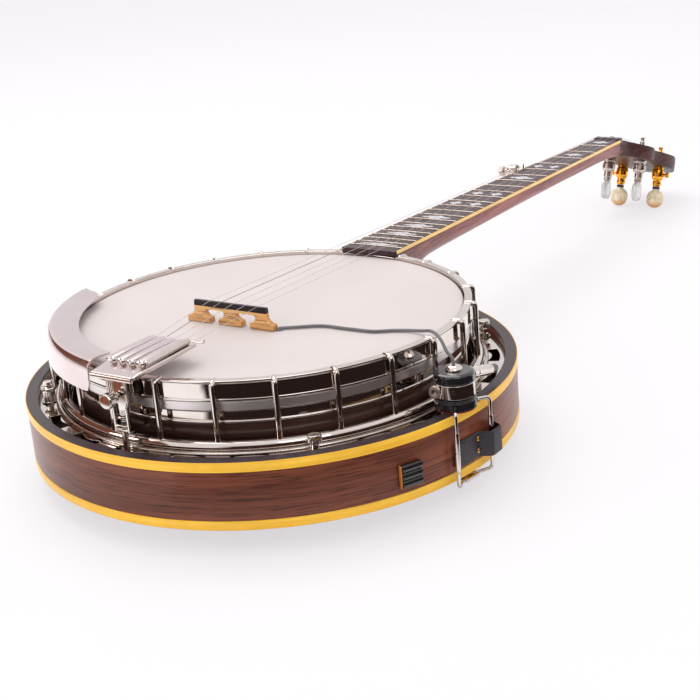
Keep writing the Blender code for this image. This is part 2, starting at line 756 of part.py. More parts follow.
def build_armrest():
    """Curved plate over the hoop on the bass side, with its clamp and nut."""
    profile = [
        (0.1325, 0.0975), (0.1500, 0.0995), (0.1545, 0.0968), (0.1562, 0.0905), (0.1565, 0.0785),
        (0.1547, 0.0785), (0.1543, 0.0900), (0.1530, 0.0950), (0.1496, 0.0978), (0.1325, 0.0958),
    ]
    first, last, steps = -101.0, -168.5, 14
    sections = []
    for step in range(steps + 1):
        degrees = first + (last - first) * step / steps
        sections.append([polar(radius, degrees, z) for radius, z in profile])
    loft("armrest", sections, "nickel")

    spread = (-138.0, -141.0, -144.0)
    strap = [
        (0.1547, 0.0782), (0.1565, 0.0782), (0.1565, 0.0640), (0.1628, 0.0632), (0.1628, 0.0615),
        (0.1547, 0.0615),
    ]
    sections = [[polar(radius, degrees, z) for radius, z in strap] for degrees in spread]
    loft("armrest_clamp", sections, "nickel", smooth=False)
    profile = [(0.0020, -0.0116), (0.0020, -0.0100), (0.0042, -0.0096), (0.0042, -0.0020),
               (0.0030, -0.0012), (0.0030, 0.0)]
    place = polar(0.1600, -141.0, 0.0615 - GAP)
    turned("armrest_clamp_screw", profile, place, (0, 0, 1), "nickel", 12)


# ---------------------------------------------------------------- pickup jack and clamp
def build_jack():
    """Round jack housing on the resonator's rim, its socket, and the pickup's lead."""
    centre = polar(JACK_LINE_R, JACK_ANGLE)
    up = (0, 0, 1)
    base = [(JACK_R, 0.0), (JACK_R, 0.0085)]
    turned("jack_base", base, centre + Vector((0, 0, RESONATOR_TOP + GAP)), up, "black_plastic", 20)
    band = [(JACK_R - 0.0004, 0.0), (JACK_R - 0.0004, 0.0098)]
    turned("jack_band", band, centre + Vector((0, 0, 0.0596)), up, "nickel", 20)
    cap = [(JACK_R - 0.0006, 0.0), (JACK_R - 0.0006, 0.0052), (JACK_R - 0.0018, 0.0064),
           (0.0044, 0.0064), (0.0036, 0.0086), (0.0018, 0.0098)]
    turned("jack_cap", cap, centre + Vector((0, 0, 0.0697)), up, "black_plastic", 20)

    start = centre + Vector((0.0030, 0.0158, 0.0682))
    axis = Vector((-0.02, 0.96, -0.25)).normalized()
    profile = [(0.0040, 0.0), (0.0040, 0.0280), (0.0031, 0.0290), (0.0031, 0.0372)]
    turned("jack_socket", profile, start, axis, "nickel")

    top = centre + Vector((0, 0, 0.0799))
    route = [
        Vector((0.0358, -0.0345, 0.0911)), Vector((0.0460, -0.0285, 0.0911)),
        Vector((0.0610, -0.0205, 0.0911)), Vector((0.0804, -0.0197, 0.0911)),
        Vector((0.1001, -0.0185, 0.0911)), Vector((0.1120, -0.0125, 0.0911)),
        Vector((0.1240, -0.0088, 0.0913)), Vector((0.1340, -0.0105, 0.0927)),
        Vector((0.1400, -0.0132, 0.0944)), Vector((0.1455, -0.0165, 0.0954)),
        Vector((0.1510, -0.0203, 0.0949)), Vector((0.1560, -0.0238, 0.0922)),
        Vector((0.1607, -0.0267, 0.0872)), top + Vector((-0.0012, 0.0008, 0.0036)), top,
    ]
    tube("pickup_lead", smooth_route(route, 0.0055), 0.0011, "grey_cable")


CLAMP_LEFT = 104.7
CLAMP_RIGHT = 93.2
CLAMP_R = 0.1812


def build_clamp():
    """Rim clamp: two hooks, two turnbuckle barrels, the lower bracket and the pad."""
    barrel_low = 0.0130
    barrel_high = 0.0410
    wire = 0.0013
    over = RESONATOR_TOP + wire + 0.0012
    for name, degrees in (("clamp_hook_left", CLAMP_LEFT), ("clamp_hook_right", CLAMP_RIGHT)):
        foot = polar(CLAMP_R, degrees, over)
        jack = polar(JACK_LINE_R, JACK_ANGLE, over)
        inwards = (jack - foot).normalized()
        reach = (jack - foot).length - JACK_R - GAP
        drop = Vector((0.0, 0.0, 1.0))
        points = [
            polar(CLAMP_R, degrees, barrel_high + GAP), foot - drop * 0.0030,
            foot + inwards * 0.0010 - drop * 0.0008, foot + inwards * 0.0032,
            foot + inwards * reach,
        ]
        rod_along(name, points, wire, "nickel")
    for number, degrees in ((1, CLAMP_LEFT), (2, CLAMP_RIGHT)):
        length = barrel_high - barrel_low
        profile = [(0.0014, 0.0), (0.0017, 0.0016), (0.0018, 0.5 * length),
                   (0.0017, length - 0.0016), (0.0014, length)]
        place = polar(CLAMP_R, degrees, barrel_low)
        turned("clamp_barrel_%d" % number, profile, place, (0, 0, 1), "nickel", 10)

    low = 0.0026
    ends = [polar(CLAMP_R, CLAMP_LEFT, barrel_low - GAP), polar(CLAMP_R, CLAMP_RIGHT, barrel_low - GAP)]
    feet = [polar(0.1795, CLAMP_LEFT, low), polar(0.1795, CLAMP_RIGHT, low)]
    bends = [polar(CLAMP_R, CLAMP_LEFT, low + 0.0024), polar(CLAMP_R, CLAMP_RIGHT, low + 0.0024)]
    points = [ends[0], bends[0], feet[0].lerp(feet[1], 0.03), feet[0].lerp(feet[1], 0.97),
              bends[1], ends[1]]
    bracket = rod_along("clamp_lower_bracket", points, 0.0012, "nickel")
    sections = []
    for degrees in (97.0, 99.0, 101.5):
        sections.append([polar(0.1690, degrees, low - 0.0011), polar(0.1792, degrees, low - 0.0011),
                         polar(0.1792, degrees, low + 0.0009), polar(0.1690, degrees, low + 0.0009)])
    boolean(bracket, loft("jaw_guide", sections, "nickel", smooth=False), "UNION")

    pad_low, pad_high = 0.0140, 0.0315
    sheet = 0.0018
    sections = []
    for step in range(15):
        degrees = 104.0 - 14.0 * step / 14.0
        nearness = max(0.0, 1.0 - abs(degrees - CLAMP_RIGHT) / 3.4)
        inner = RESONATOR_R + GAP + (CLAMP_R + 0.0031 - RESONATOR_R) * min(1.0, 1.9 * nearness)
        sections.append([polar(inner, degrees, pad_low), polar(inner + sheet, degrees, pad_low),
                         polar(inner + sheet, degrees, pad_high), polar(inner, degrees, pad_high)])
    loft("clamp_pad", sections, "black_leather", smooth=False)

    corners = [(RESONATOR_R + GAP, 0.0150), (0.1812, 0.0150), (0.1812, 0.0325),
               (RESONATOR_R + GAP, 0.0325)]
    sections = [[polar(radius, degrees, z) for radius, z in corners] for degrees in (118.9, 116.2, 113.5)]
    loft("side_clip", sections, "black_plastic", smooth=False)


def main():
    for old in list(bpy.data.objects):
        bpy.data.objects.remove(old, do_unlink=True)
    build_resonator()
    build_rim_and_ring()
    build_tension_hoop()
    build_flange()
    build_coordinator_rods()
    build_neck()
    build_tuners()
    build_fifth_tuner()
    build_bridge()
    build_strings()
    build_tailpiece()
    build_armrest()
    build_jack()
    build_clamp()
    for made in bpy.data.objects:
        made.location.z += BACK_CROWN


main()
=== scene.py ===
"""Looks of a five-string resonator banjo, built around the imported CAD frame.

Sizes are in millimetres up to piece(), which turns them into metres. Heights are
measured from the datum plane of the pot, and piece() lifts them by LIFT into the
frame's own height. Angles are measured from the neck (+Y) towards the treble side (+X).
"""

from math import copysign, cos, pi, radians, sin, sqrt

import bmesh
import bpy
from mathutils import Matrix, Vector


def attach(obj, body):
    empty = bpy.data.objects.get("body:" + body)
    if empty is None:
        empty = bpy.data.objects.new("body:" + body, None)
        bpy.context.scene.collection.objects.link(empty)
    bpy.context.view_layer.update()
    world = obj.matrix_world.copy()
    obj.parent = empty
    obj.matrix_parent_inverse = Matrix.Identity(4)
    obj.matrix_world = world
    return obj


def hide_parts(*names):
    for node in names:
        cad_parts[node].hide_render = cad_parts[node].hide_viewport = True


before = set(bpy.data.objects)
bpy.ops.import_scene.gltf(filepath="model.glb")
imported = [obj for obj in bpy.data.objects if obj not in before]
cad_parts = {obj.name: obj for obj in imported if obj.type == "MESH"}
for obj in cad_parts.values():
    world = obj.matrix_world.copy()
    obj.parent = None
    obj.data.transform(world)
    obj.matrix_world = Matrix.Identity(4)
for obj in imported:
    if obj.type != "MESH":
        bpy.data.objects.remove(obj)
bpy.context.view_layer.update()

POT = "pot_and_neck"
MM = 0.001
LIFT = 13
RING_STEPS = 240
X = Vector((1, 0, 0))
Y = Vector((0, 1, 0))
Z = Vector((0, 0, 1))
moved = Matrix.Translation

RESONATOR_R = 176.5
RESONATOR_TOP = 50.5
BINDING_T = 2.8
RIM_INNER_R = 128
RIM_R = 141.2
SKIRT_R = 143
RING_R = 139.6
HEAD_TOP = 89.7
HOOP_TOP = 92
HOOP_BOTTOM = 78.2
HOOP_R = 146.5
HOOP_INNER_R = 141
HOOK_BOTTOM = 34.2
COLLAR_BOTTOM = 71.6
RIM_TOP = 62
HOOK_LINE_R = 149
HOOK_R = 2
TUBE_Z = 49.2
TUBE_R = 4
PLATE_TOP = 44.8
SCALE = 666.75
BRIDGE_Y = -37
BRIDGE_H = 15.8
BRIDGE_SHIFT = -3
NUT_Y = BRIDGE_Y + SCALE
NUT_T = 4.5
BOARD_END_Y = 138
BOARD_END_Z = 96
BOARD_NUT_Z = 82.8
BOARD_T = 4
BOARD_END_HALF = 25.5
BOARD_NUT_HALF = 15.5
PEGHEAD_ANGLE = radians(20.5)
PEGHEAD_T = 14
NUT_PITCH = 8
BRIDGE_PITCH = 10.3
TAIL_PITCH = 7.9
TUNER_PAIRS = ((52, 18), (103, 21.5))


def polar(radius, degrees, z=0):
    angle = radians(degrees)
    return Vector((radius * sin(angle), radius * cos(angle), z))


def board_z(y):
    t = (y - BOARD_END_Y) / (NUT_Y - BOARD_END_Y)
    return BOARD_END_Z + (BOARD_NUT_Z - BOARD_END_Z) * t


def fret_y(number):
    return BRIDGE_Y + SCALE * 2 ** (-number / 12)


FIFTH_PEG_Y = fret_y(5) + 12
SHOULDER_Y = FIFTH_PEG_Y + 14


def half_widths(y):
    """Half width of the neck on the bass and on the treble side."""
    t = (y - BOARD_END_Y) / (NUT_Y - BOARD_END_Y)
    treble = BOARD_END_HALF + (BOARD_NUT_HALF - BOARD_END_HALF) * t
    extra = 3 * min(1, max(0, (y - BOARD_END_Y) / 200))
    blend = min(1, max(0, (y - SHOULDER_Y) / 14))
    blend = blend * blend * (3 - 2 * blend)
    return treble + extra * (1 - blend), treble


def frame_at(origin, axis, side=X):
    """Placement whose local Z is the axis and whose local X lies towards side."""
    z_axis = Vector(axis).normalized()
    x_axis = (side - z_axis * side.dot(z_axis)).normalized()
    basis = Matrix((x_axis, z_axis.cross(x_axis), z_axis)).transposed().to_4x4()
    return moved(origin) @ basis


def spline(keys, x):
    """Smooth curve through (x, value) keys."""
    if x <= keys[0][0]:
        return keys[0][1]
    for k in range(len(keys) - 1):
        (x0, y0), (x1, y1) = keys[k], keys[k + 1]
        if x <= x1:
            before = keys[max(k - 1, 0)]
            after = keys[min(k + 2, len(keys) - 1)]
            m0 = (y1 - before[1]) / (x1 - before[0])
            m1 = (after[1] - y0) / (after[0] - x0)
            h = x1 - x0
            t = (x - x0) / h
            return (y0 * (1 + 2 * t) * (1 - t) ** 2 + m0 * h * t * (1 - t) ** 2
                    + y1 * t * t * (3 - 2 * t) + m1 * h * t * t * (t - 1))
    return keys[-1][1]


# ---------------------------------------------------------------- materials
class Nodes:
    """Shader nodes added to one material's or world's tree."""

    def __init__(self, owner):
        owner.use_nodes = True
        self.owner = owner
        self.tree = owner.node_tree

    def put(self, socket, value):
        """Link an input to a socket, or give it a value."""
        if isinstance(value, bpy.types.NodeSocket):
            self.tree.links.new(value, socket)
        elif socket.type == "RGBA" and len(value) == 3:
            socket.default_value = (*value, 1)
        else:
            socket.default_value = value

    def add(self, kind, inputs=None, output=0, **attributes):
        """Output of a new node."""
        made = self.tree.nodes.new("ShaderNode" + kind)
        for key, value in attributes.items():
            setattr(made, key, value)
        for key, value in (inputs or {}).items():
            self.put(made.inputs[key], value)
        return made.outputs[output]

    def calc(self, operation, first, second):
        return self.add("Math", {0: first, 1: second}, operation=operation)

    def vector(self, operation, first, second=(0, 0, 0), output="Value"):
        return self.add("VectorMath", {0: first, 1: second}, output, operation=operation)

    def span(self, value, low, high):
        """0 below low and 1 above high."""
        return self.add("MapRange", {0: value, 1: low, 2: high})

    def ramp(self, fac, *stops):
        """Colour ramp with (place, grey or colour) stops."""
        made = self.add("ValToRGB", {"Fac": fac})
        elements = made.node.color_ramp.elements
        while len(elements) < len(stops):
            elements.new(0.5)
        for element, (place, color) in zip(elements, stops):
            element.position = place
            element.color = (*(color if hasattr(color, "__len__") else (color,) * 3), 1)
        return made

    def noise(self, scale, detail=4, distortion=0, around=False):
        """Noise over object coordinates. around unrolls them about the pot's axis."""
        source = self.add("TexCoord", output="Object")
        if around:
            x, y, z = (self.add("SeparateXYZ", {0: source}, axis) for axis in "XYZ")
            angle = self.calc("ARCTAN2", x, self.calc("MULTIPLY", y, -1))
            flat = self.vector("MULTIPLY", source, (1, 1, 0), "Vector")
            source = self.add("CombineXYZ", {0: self.calc("MULTIPLY", angle, RESONATOR_R * MM),
                                             1: self.vector("LENGTH", flat), 2: z})
        scale = scale if hasattr(scale, "__len__") else (scale,) * 3
        place = self.add("Mapping", {"Vector": source, "Scale": scale})
        return self.add("TexNoise", {"Vector": place, "Scale": 1, "Detail": detail, "Roughness": 0.55,
                                     "Distortion": distortion}, "Fac")

    def mix(self, fac, first, second, mode="MIX"):
        return self.add("Mix", {0: fac, 6: first, 7: second}, 2, data_type="RGBA", blend_type=mode)

    def finish(self, color, roughness, bump=None, strength=0.1, distance=0.0002, **more):
        """Fill the principled shader and give the material."""
        inputs = self.tree.nodes["Principled BSDF"].inputs
        for key, value in {"Base_Color": color, "Roughness": roughness, **more}.items():
            self.put(inputs[key.replace("_", " ")], value)
        if bump is not None:
            self.put(inputs["Normal"],
                     self.add("Bump", {"Height": bump, "Strength": strength, "Distance": distance}))
        return self.owner


def start(name):
    return Nodes(bpy.data.materials.new(name))


def wood(name, dark, middle, light, along=0, around=False, gloss=0.7, fine=1):
    """Lacquered wood. along is the axis that the grain follows."""
    look = start(name)

    def grained(across, lengthwise, *more):
        scale = [across] * 3
        scale[along] = lengthwise
        return look.noise(scale, *more, around=around)

    figure = grained(16, 2.4, 3, 0.8)
    pore = grained(900, 38, 2)
    tone = look.ramp(grained(130 * fine, 5 * fine, 6, 0.4), (0.30, dark), (0.52, middle), (0.74, light))
    tone = look.mix(1, tone, look.ramp(figure, (0.30, 0.55), (0.50, 1), (0.72, 1.45)), "MULTIPLY")
    tone = look.mix(0.75, tone, look.ramp(pore, (0.36, 0.30), (0.47, 1)), "MULTIPLY")
    return look.finish(tone, look.ramp(figure, (0.3, 0.30), (0.7, 0.42)), pore, 0.12, 0.0001,
                       Coat_Weight=gloss, Coat_Roughness=0.12, Specular_IOR_Level=0.22)


def metal(name, color, smooth, dull, smudge=30, tarnish=0):
    """Plated or polished metal with smudges, fine scratches and a little tarnish."""
    look = start(name)
    patches = look.noise(smudge, 5, 0.6)
    worn = [channel * (1 - tarnish * fade) for channel, fade in zip(color, (0.6, 0.9, 1.2))]
    return look.finish(look.ramp(patches, (0.40, color), (0.80, worn)),
                       look.ramp(patches, (0.35, smooth), (0.72, dull)),
                       look.noise((260, 1400, 900), 2), 0.025, 0.00005, Metallic=1)


def plain(name, color, roughness, lumps=900, strength=0.08, vary=0.10, around=False, **more):
    """Moulded or worked surface: slight colour drift, varied gloss and a fine texture."""
    look = start(name)
    drift = look.noise(45, 4, around=around)
    low, high = ([min(1, channel * (1 + sign * vary)) for channel in color] for sign in (-1, 1))
    rough = look.ramp(drift, (0.3, roughness * 0.8), (0.7, min(1, roughness * 1.2)))
    return look.finish(look.ramp(drift, (0.35, low), (0.65, high)), rough,
                       look.noise(lumps, 3, around=around), strength, **more)


def celluloid(name, color, pale):
    """Grained binding: fine pale streaks along the strip under a gloss coat."""
    look = start(name)
    streaks = look.noise((14, 14, 420), 4, 0.3, True)
    aged = look.ramp(look.noise(22, 3), (0.35, 0.90), (0.65, 1.06))
    tone = look.mix(1, look.ramp(streaks, (0.32, color), (0.72, pale)), aged, "MULTIPLY")
    return look.finish(tone, 0.32, streaks, 0.03, 0.0001,
                       Coat_Weight=0.15, Coat_Roughness=0.15, Specular_IOR_Level=0.3)


def pearl(name, base, glow, scale, roughness=0.22, **more):
    """Nacre: soft wavy bands between two tones with a slight colour play."""
    look = start(name)
    waves = look.noise((scale, scale * 0.5, scale), 3, 3)
    play = look.ramp(look.noise(scale * 1.7, 2),
                     (0.35, (0.93, 1, 1.02)), (0.5, (1, 1, 1)), (0.65, (1.03, 0.95, 0.98)))
    tone = look.mix(1, look.ramp(waves, (0.35, base), (0.52, glow), (0.66, base)), play, "MULTIPLY")
    return look.finish(tone, roughness, waves, 0.04, 0.0001, Coat_Weight=0.6, **more)


def aged_button(name):
    """Pearloid tuner button that deepens to amber at its tip."""
    look = start(name)
    waves = look.noise((160, 160, 90), 3, 2.5)
    body = look.ramp(waves, (0.35, (0.56, 0.45, 0.27)), (0.52, (0.80, 0.72, 0.52)),
                     (0.68, (0.62, 0.52, 0.33)))
    height = look.add("SeparateXYZ", {0: look.add("TexCoord", output="Generated")}, "Z")
    amber = look.ramp(height, (0.05, 1), (0.22, 0.55), (0.36, 0))
    return look.finish(look.mix(amber, body, (0.62, 0.25, 0.04)), 0.20, waves, 0.03, 0.0001,
                       Coat_Weight=0.8, Subsurface_Weight=0.25, Subsurface_Scale=0.004)


def drum_film(name):
    """Frosted head: a fine sprayed coat, faint cloudiness and a few rubbed marks."""
    look = start(name)
    cloud = look.noise(9, 4)
    tone = look.ramp(cloud, (0.30, (0.56, 0.50, 0.485)), (0.70, (0.60, 0.54, 0.525)))
    rub = look.ramp(look.noise((26, 60, 26), 5, 1.2), (0.66, 1), (0.78, 0.94))
    return look.finish(look.mix(1, tone, rub, "MULTIPLY"), look.ramp(cloud, (0.3, 0.42), (0.7, 0.54)),
                       look.noise(1500, 2), 0.10, 0.0001, Specular_IOR_Level=0.25)


def leather(name, color):
    """Black hide: small cells and broad folds."""
    look = start(name)
    source = look.add("Mapping", {"Vector": look.add("TexCoord", output="Object"), "Scale": (900, 900, 900)})
    cells = look.add("TexVoronoi", {"Vector": source, "Scale": 1}, "Distance")
    folds = look.noise((70, 70, 25), 4, 0.5)
    tone = look.ramp(folds, (0.35, color), (0.70, [channel * 2.2 for channel in color]))
    return look.finish(tone, look.ramp(folds, (0.3, 0.30), (0.7, 0.48)), cells, 0.25)


LOOKS = {  # the record's material slot, and the material
    "mahogany": ("mahogany", wood("resonator_mahogany", (0.148, 0.037, 0.018), (0.185, 0.048, 0.023),
                                  (0.235, 0.068, 0.035), 0, True, gloss=0.22, fine=2.6)),
    "back_wood": ("mahogany", wood("back_mahogany", (0.055, 0.015, 0.010), (0.150, 0.047, 0.030),
                                   (0.250, 0.095, 0.060), 1)),
    "neck_wood": ("mahogany", wood("neck_mahogany", (0.150, 0.038, 0.034), (0.255, 0.082, 0.076),
                                   (0.350, 0.135, 0.125), 1, gloss=0.25, fine=1.6)),
    "peghead_wood": ("mahogany", wood("peghead_mahogany", (0.032, 0.009, 0.008), (0.062, 0.020, 0.018),
                                      (0.100, 0.037, 0.033), 1, gloss=0, fine=1.6)),
    "rim_wood": ("mahogany", wood("rim_maple_stained", (0.020, 0.008, 0.006), (0.050, 0.020, 0.014),
                                  (0.090, 0.040, 0.028), 0, True)),
    "rim_black": ("mahogany", plain("rim_top_lacquer", (0.044, 0.027, 0.031), 0.34, vary=0.25, around=True,
                                    Specular_IOR_Level=0.35)),
    "binding": ("amber_binding", celluloid("amber_celluloid", (0.76, 0.39, 0.018), (0.87, 0.52, 0.055))),
    "neck_binding": ("amber_binding", celluloid("pale_celluloid", (0.84, 0.50, 0.13), (0.93, 0.66, 0.27))),
    "ebony": ("ebony", wood("ebony_board", (0.028, 0.012, 0.015), (0.060, 0.029, 0.034),
                            (0.100, 0.054, 0.062), 1, gloss=0, fine=2)),
    "ebony_cap": ("ebony", wood("ebony_cap_wood", (0.010, 0.007, 0.007), (0.022, 0.015, 0.016),
                                (0.045, 0.032, 0.032), 0, gloss=0.1, fine=2)),
    "maple": ("maple", wood("bridge_maple", (0.50, 0.22, 0.075), (0.72, 0.38, 0.14), (0.85, 0.52, 0.22), 0,
                            gloss=0.15, fine=2)),
    "nut": ("bone", plain("aged_nut", (0.115, 0.095, 0.100), 0.35)),
    "film": ("head_film", drum_film("frosted_film")),
    "collar": ("nickel", metal("satin_collar", (0.86, 0.80, 0.80), 0.36, 0.46)),
    "chrome": ("nickel", metal("nickel_polished", (0.72, 0.665, 0.63), 0.04, 0.10, tarnish=0.20)),
    "satin_chrome": ("nickel", metal("nickel_satin", (0.72, 0.62, 0.635), 0.12, 0.20, tarnish=0.12)),
    "dull_chrome": ("nickel", metal("nickel_worn", (0.62, 0.56, 0.52), 0.16, 0.34, 60, 0.45)),
    "wound": ("steel_wire", metal("wound_string", (0.34, 0.29, 0.26), 0.26, 0.40, 90)),
    "steel": ("steel_wire", metal("drawn_steel", (0.62, 0.60, 0.58), 0.20, 0.34, 90)),
    "gold": ("gold", metal("gold_plate", (0.92, 0.42, 0.045), 0.10, 0.24, 60, 0.30)),
    "brass": ("gold", metal("aged_brass", (0.62, 0.36, 0.12), 0.22, 0.40, 90, 0.4)),
    "inlay": ("pearl_button", pearl("pearl_inlay", (0.30, 0.28, 0.30), (0.70, 0.68, 0.72), 260)),
    "aged_pearl": ("pearl_button", aged_button("aged_pearloid")),
    "clear": ("clear_button", pearl("clear_button_resin", (0.86, 0.83, 0.82), (0.93, 0.91, 0.90), 70, 0.18,
                                    Transmission_Weight=0.6)),
    "black": ("black_plastic", plain("black_moulding", (0.012, 0.011, 0.013), 0.26, vary=0.3,
                                     Coat_Weight=0.3)),
    "gloss_black": ("black_plastic", plain("gloss_black_moulding", (0.010, 0.009, 0.011), 0.12, vary=0.3,
                                           strength=0.03, Coat_Weight=0.6)),
    "red": ("black_plastic", plain("red_gasket", (0.22, 0.010, 0.012), 0.45, vary=0.2)),
    "leather": ("black_leather", leather("black_hide", (0.014, 0.010, 0.015))),
    "cable": ("grey_cable", plain("grey_lead", (0.135, 0.128, 0.130), 0.40, (300, 300, 1500), vary=0.15)),
    "horn": ("amber_binding", plain("amber_horn", (0.45, 0.16, 0.02), 0.30, vary=0.3)),
}


# ---------------------------------------------------------------- shapes
def circle(count):
    """Cosine and sine at even steps round a circle."""
    return [(cos(2 * pi * k / count), sin(2 * pi * k / count)) for k in range(count)]


def fillet(points, radius, closed=False, steps=3):
    """Outline or path with each corner rounded."""
    rounded = []
    count = len(points)
    for k, point in enumerate(points):
        corner = Vector(point)
        if not closed and k in (0, count - 1):
            rounded.append(corner)
            continue
        before = Vector(points[k - 1]) - corner
        after = Vector(points[(k + 1) % count]) - corner
        cut = min(radius, 0.45 * before.length, 0.45 * after.length)
        first = corner + before.normalized() * cut
        last = corner + after.normalized() * cut
        for step in range(steps + 1):
            t = step / steps
            rounded.append(first.lerp(corner, t).lerp(corner.lerp(last, t), t))
    return rounded


def smooth_path(keys, per_span=6):
    """Points along a smooth curve through the keys."""
    ends = [keys[0] * 2 - keys[1]] + list(keys) + [keys[-1] * 2 - keys[-2]]
    path = []
    for k in range(1, len(ends) - 2):
        a, b, c, d = ends[k - 1:k + 3]
        for step in range(per_span):
            t = step / per_span
            path.append((b * 2 + (c - a) * t + (a * 2 - b * 5 + c * 4 - d) * t * t
                         + (b * 3 - a - c * 3 + d) * t ** 3) * 0.5)
    return path + [keys[-1]]


class Shape:
    """Points and faces gathered for one piece."""

    def __init__(self):
        self.points, self.faces = [], []

    def skin(self, loops, ring=False, place=None):
        """Closed skin over loops of equal count. A ring joins the last loop to the first."""
        base, count, rows = len(self.points), len(loops[0]), len(loops)
        self.points += [place @ Vector(point) if place else Vector(point)
                        for loop in loops for point in loop]
        for row in range(rows if ring else rows - 1):
            here = base + row * count
            there = base + ((row + 1) % rows) * count
            for k in range(count):
                n = (k + 1) % count
                self.faces.append((here + k, here + n, there + n, there + k))
        if not ring:
            for end in (base, base + (rows - 1) * count):
                self.faces.append(tuple(range(end, end + count)))
        return self

    def turn(self, profile, place=None, steps=48, ring=False, ribs=0, depth=0, soft=0):
        """Round solid about local Z. ribs cut that many grooves of a depth into its wall."""
        if soft:
            profile = fillet(profile, soft, ring)
        widest = max(radius for radius, _ in profile)
        loops = []
        for radius, along in profile:
            grooved = depth if ribs and radius > 0.97 * widest else 0
            loop = []
            for step in range(steps):
                angle = 2 * pi * step / steps
                wall = radius - grooved * (0.5 - 0.5 * cos(ribs * angle))
                loop.append((wall * cos(angle), wall * sin(angle), along))
            loops.append(loop)
        return self.skin(loops, ring, place)

    def tube(self, path, radius, sides=12):
        """Round bar along a path, with domed ends."""
        path = [Vector(point) for point in path]
        first = (path[0] - path[1]).normalized()
        last = (path[-1] - path[-2]).normalized()
        dome = ((0.55, 0.84), (0.90, 0.45))
        radii = [0.45 * radius, 0.84 * radius] + [radius] * len(path) + [0.84 * radius, 0.45 * radius]
        path = ([path[0] + first * radius * out for out, _ in reversed(dome)] + path
                + [path[-1] + last * radius * out for out, _ in dome])
        side = Z if abs((path[1] - path[0]).normalized().z) < 0.9 else X
        loops = []
        for k, point in enumerate(path):
            direction = (path[min(k + 1, len(path) - 1)] - path[max(k - 1, 0)]).normalized()
            side = (side - direction * side.dot(direction)).normalized()
            other = direction.cross(side)
            loops.append([point + (side * c + other * s) * radii[k] for c, s in circle(sides)])
        return self.skin(loops)

    def slab(self, outline, low, high):
        """Outline in the YZ plane, given a width along X."""
        return self.skin([[(x, y, z) for y, z in outline] for x in (low, high)])

    def sweep(self, profile, first, last, steps):
        """Profile of (radius, height) swept about the pot's axis between two angles."""
        return self.skin([[polar(radius, first + (last - first) * k / steps, z) for radius, z in profile]
                          for k in range(steps + 1)])

    def prism(self, outline, low, high, place=None):
        """Flat outline given a thickness along local Z."""
        return self.skin([[(x, y, z) for x, y in outline] for z in (low, high)], False, place)

    def box(self, low, high, place=None):
        (x0, y0, z0), (x1, y1, z1) = low, high
        return self.prism([(x0, y0), (x1, y0), (x1, y1), (x0, y1)], z0, z1, place)


def ring(profile, soft=0):
    """Band right round the pot."""
    return Shape().turn(profile, steps=RING_STEPS, ring=True, soft=soft)


def piece(name, shape, look, stands_for=(), body=POT, bevel=0, segments=2):
    """Object from a shape, riding on its body, with its material."""
    slot, material = LOOKS[look]
    mesh = bpy.data.meshes.new(name)
    mesh.from_pydata([tuple((point + Z * LIFT) * MM) for point in shape.points], [], shape.faces)
    work = bmesh.new()
    work.from_mesh(mesh)
    bmesh.ops.recalc_face_normals(work, faces=work.faces)
    work.to_mesh(mesh)
    work.free()
    mesh.shade_smooth()
    made = bpy.data.objects.new(name, mesh)
    bpy.context.scene.collection.objects.link(made)
    mesh.materials.append(material)
    if bevel:
        edges = made.modifiers.new("edges", "BEVEL")
        edges.width = bevel * MM
        edges.segments = segments
        edges.limit_method = "ANGLE"
        edges.angle_limit = radians(32)
    else:
        mesh.set_sharp_from_angle(angle=radians(38))
    flatter = made.modifiers.new("flat_faces", "WEIGHTED_NORMAL")
    flatter.weight = 90
    flatter.keep_sharp = True
    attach(made, body)
    if stands_for:
        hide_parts(*([stands_for] if isinstance(stands_for, str) else stands_for))
    return made


# ---------------------------------------------------------------- resonator
def build_resonator():
    wall = RESONATOR_R - 0.3
    rebate = RESONATOR_R - BINDING_T - 0.3
    low_band, high_band, binding_h = 4.6, 44, 6.5
    inner = 168
    side = [(inner, 9.3), (rebate, 9.3), (rebate, low_band + binding_h + 0.2),
        (wall, low_band + binding_h + 0.2), (wall, high_band - 0.2), (rebate, high_band - 0.2),
        (rebate, 48.8), (inner, 48.8)]
    piece("resonator_sidewall_wood", ring(side), "mahogany", "resonator_sidewall")
    brim, lap = RESONATOR_R - 0.6, RESONATOR_TOP - 0.6
    cap = [(inner, 48.9), (rebate, 48.9), (rebate, lap), (brim, lap), (brim, RESONATOR_TOP),
        (inner, RESONATOR_TOP)]
    piece("resonator_rim_cap", ring(cap, 0.4), "rim_black")
    for name, z, step in (("resonator_top_binding", high_band, 0.7),
            ("resonator_bottom_binding", low_band, 0)):
        band = [(RESONATOR_R - BINDING_T, z), (RESONATOR_R, z), (RESONATOR_R, z + binding_h)]
        if step:
            band += [(brim + 0.1, z + binding_h), (brim + 0.1, z + binding_h - step)]
        band.append((RESONATOR_R - BINDING_T, z + binding_h - step))
        piece(name + "_strip", ring(band, 0.2 if step else 0.8), "binding", name)

    edge_r = RESONATOR_R - BINDING_T - 0.6
    flat_r, crown, rise, thick = 70, 13, 18.4, 3.6
    lower = [(4, -crown), (flat_r * 0.6, -crown)]
    lower += [(flat_r + (edge_r - flat_r) * k / 12, rise * (k / 12) ** 1.5 - crown) for k in range(13)]
    upper = [(radius, z + thick) for radius, z in reversed(lower)]
    piece("resonator_back_plate", Shape().turn(lower + upper, steps=RING_STEPS), "back_wood",
        "resonator_back")


# ---------------------------------------------------------------- pot
HOOK_ANGLES = [11.5, -11.5] + [22.5 + 15 * k for k in range(22)]


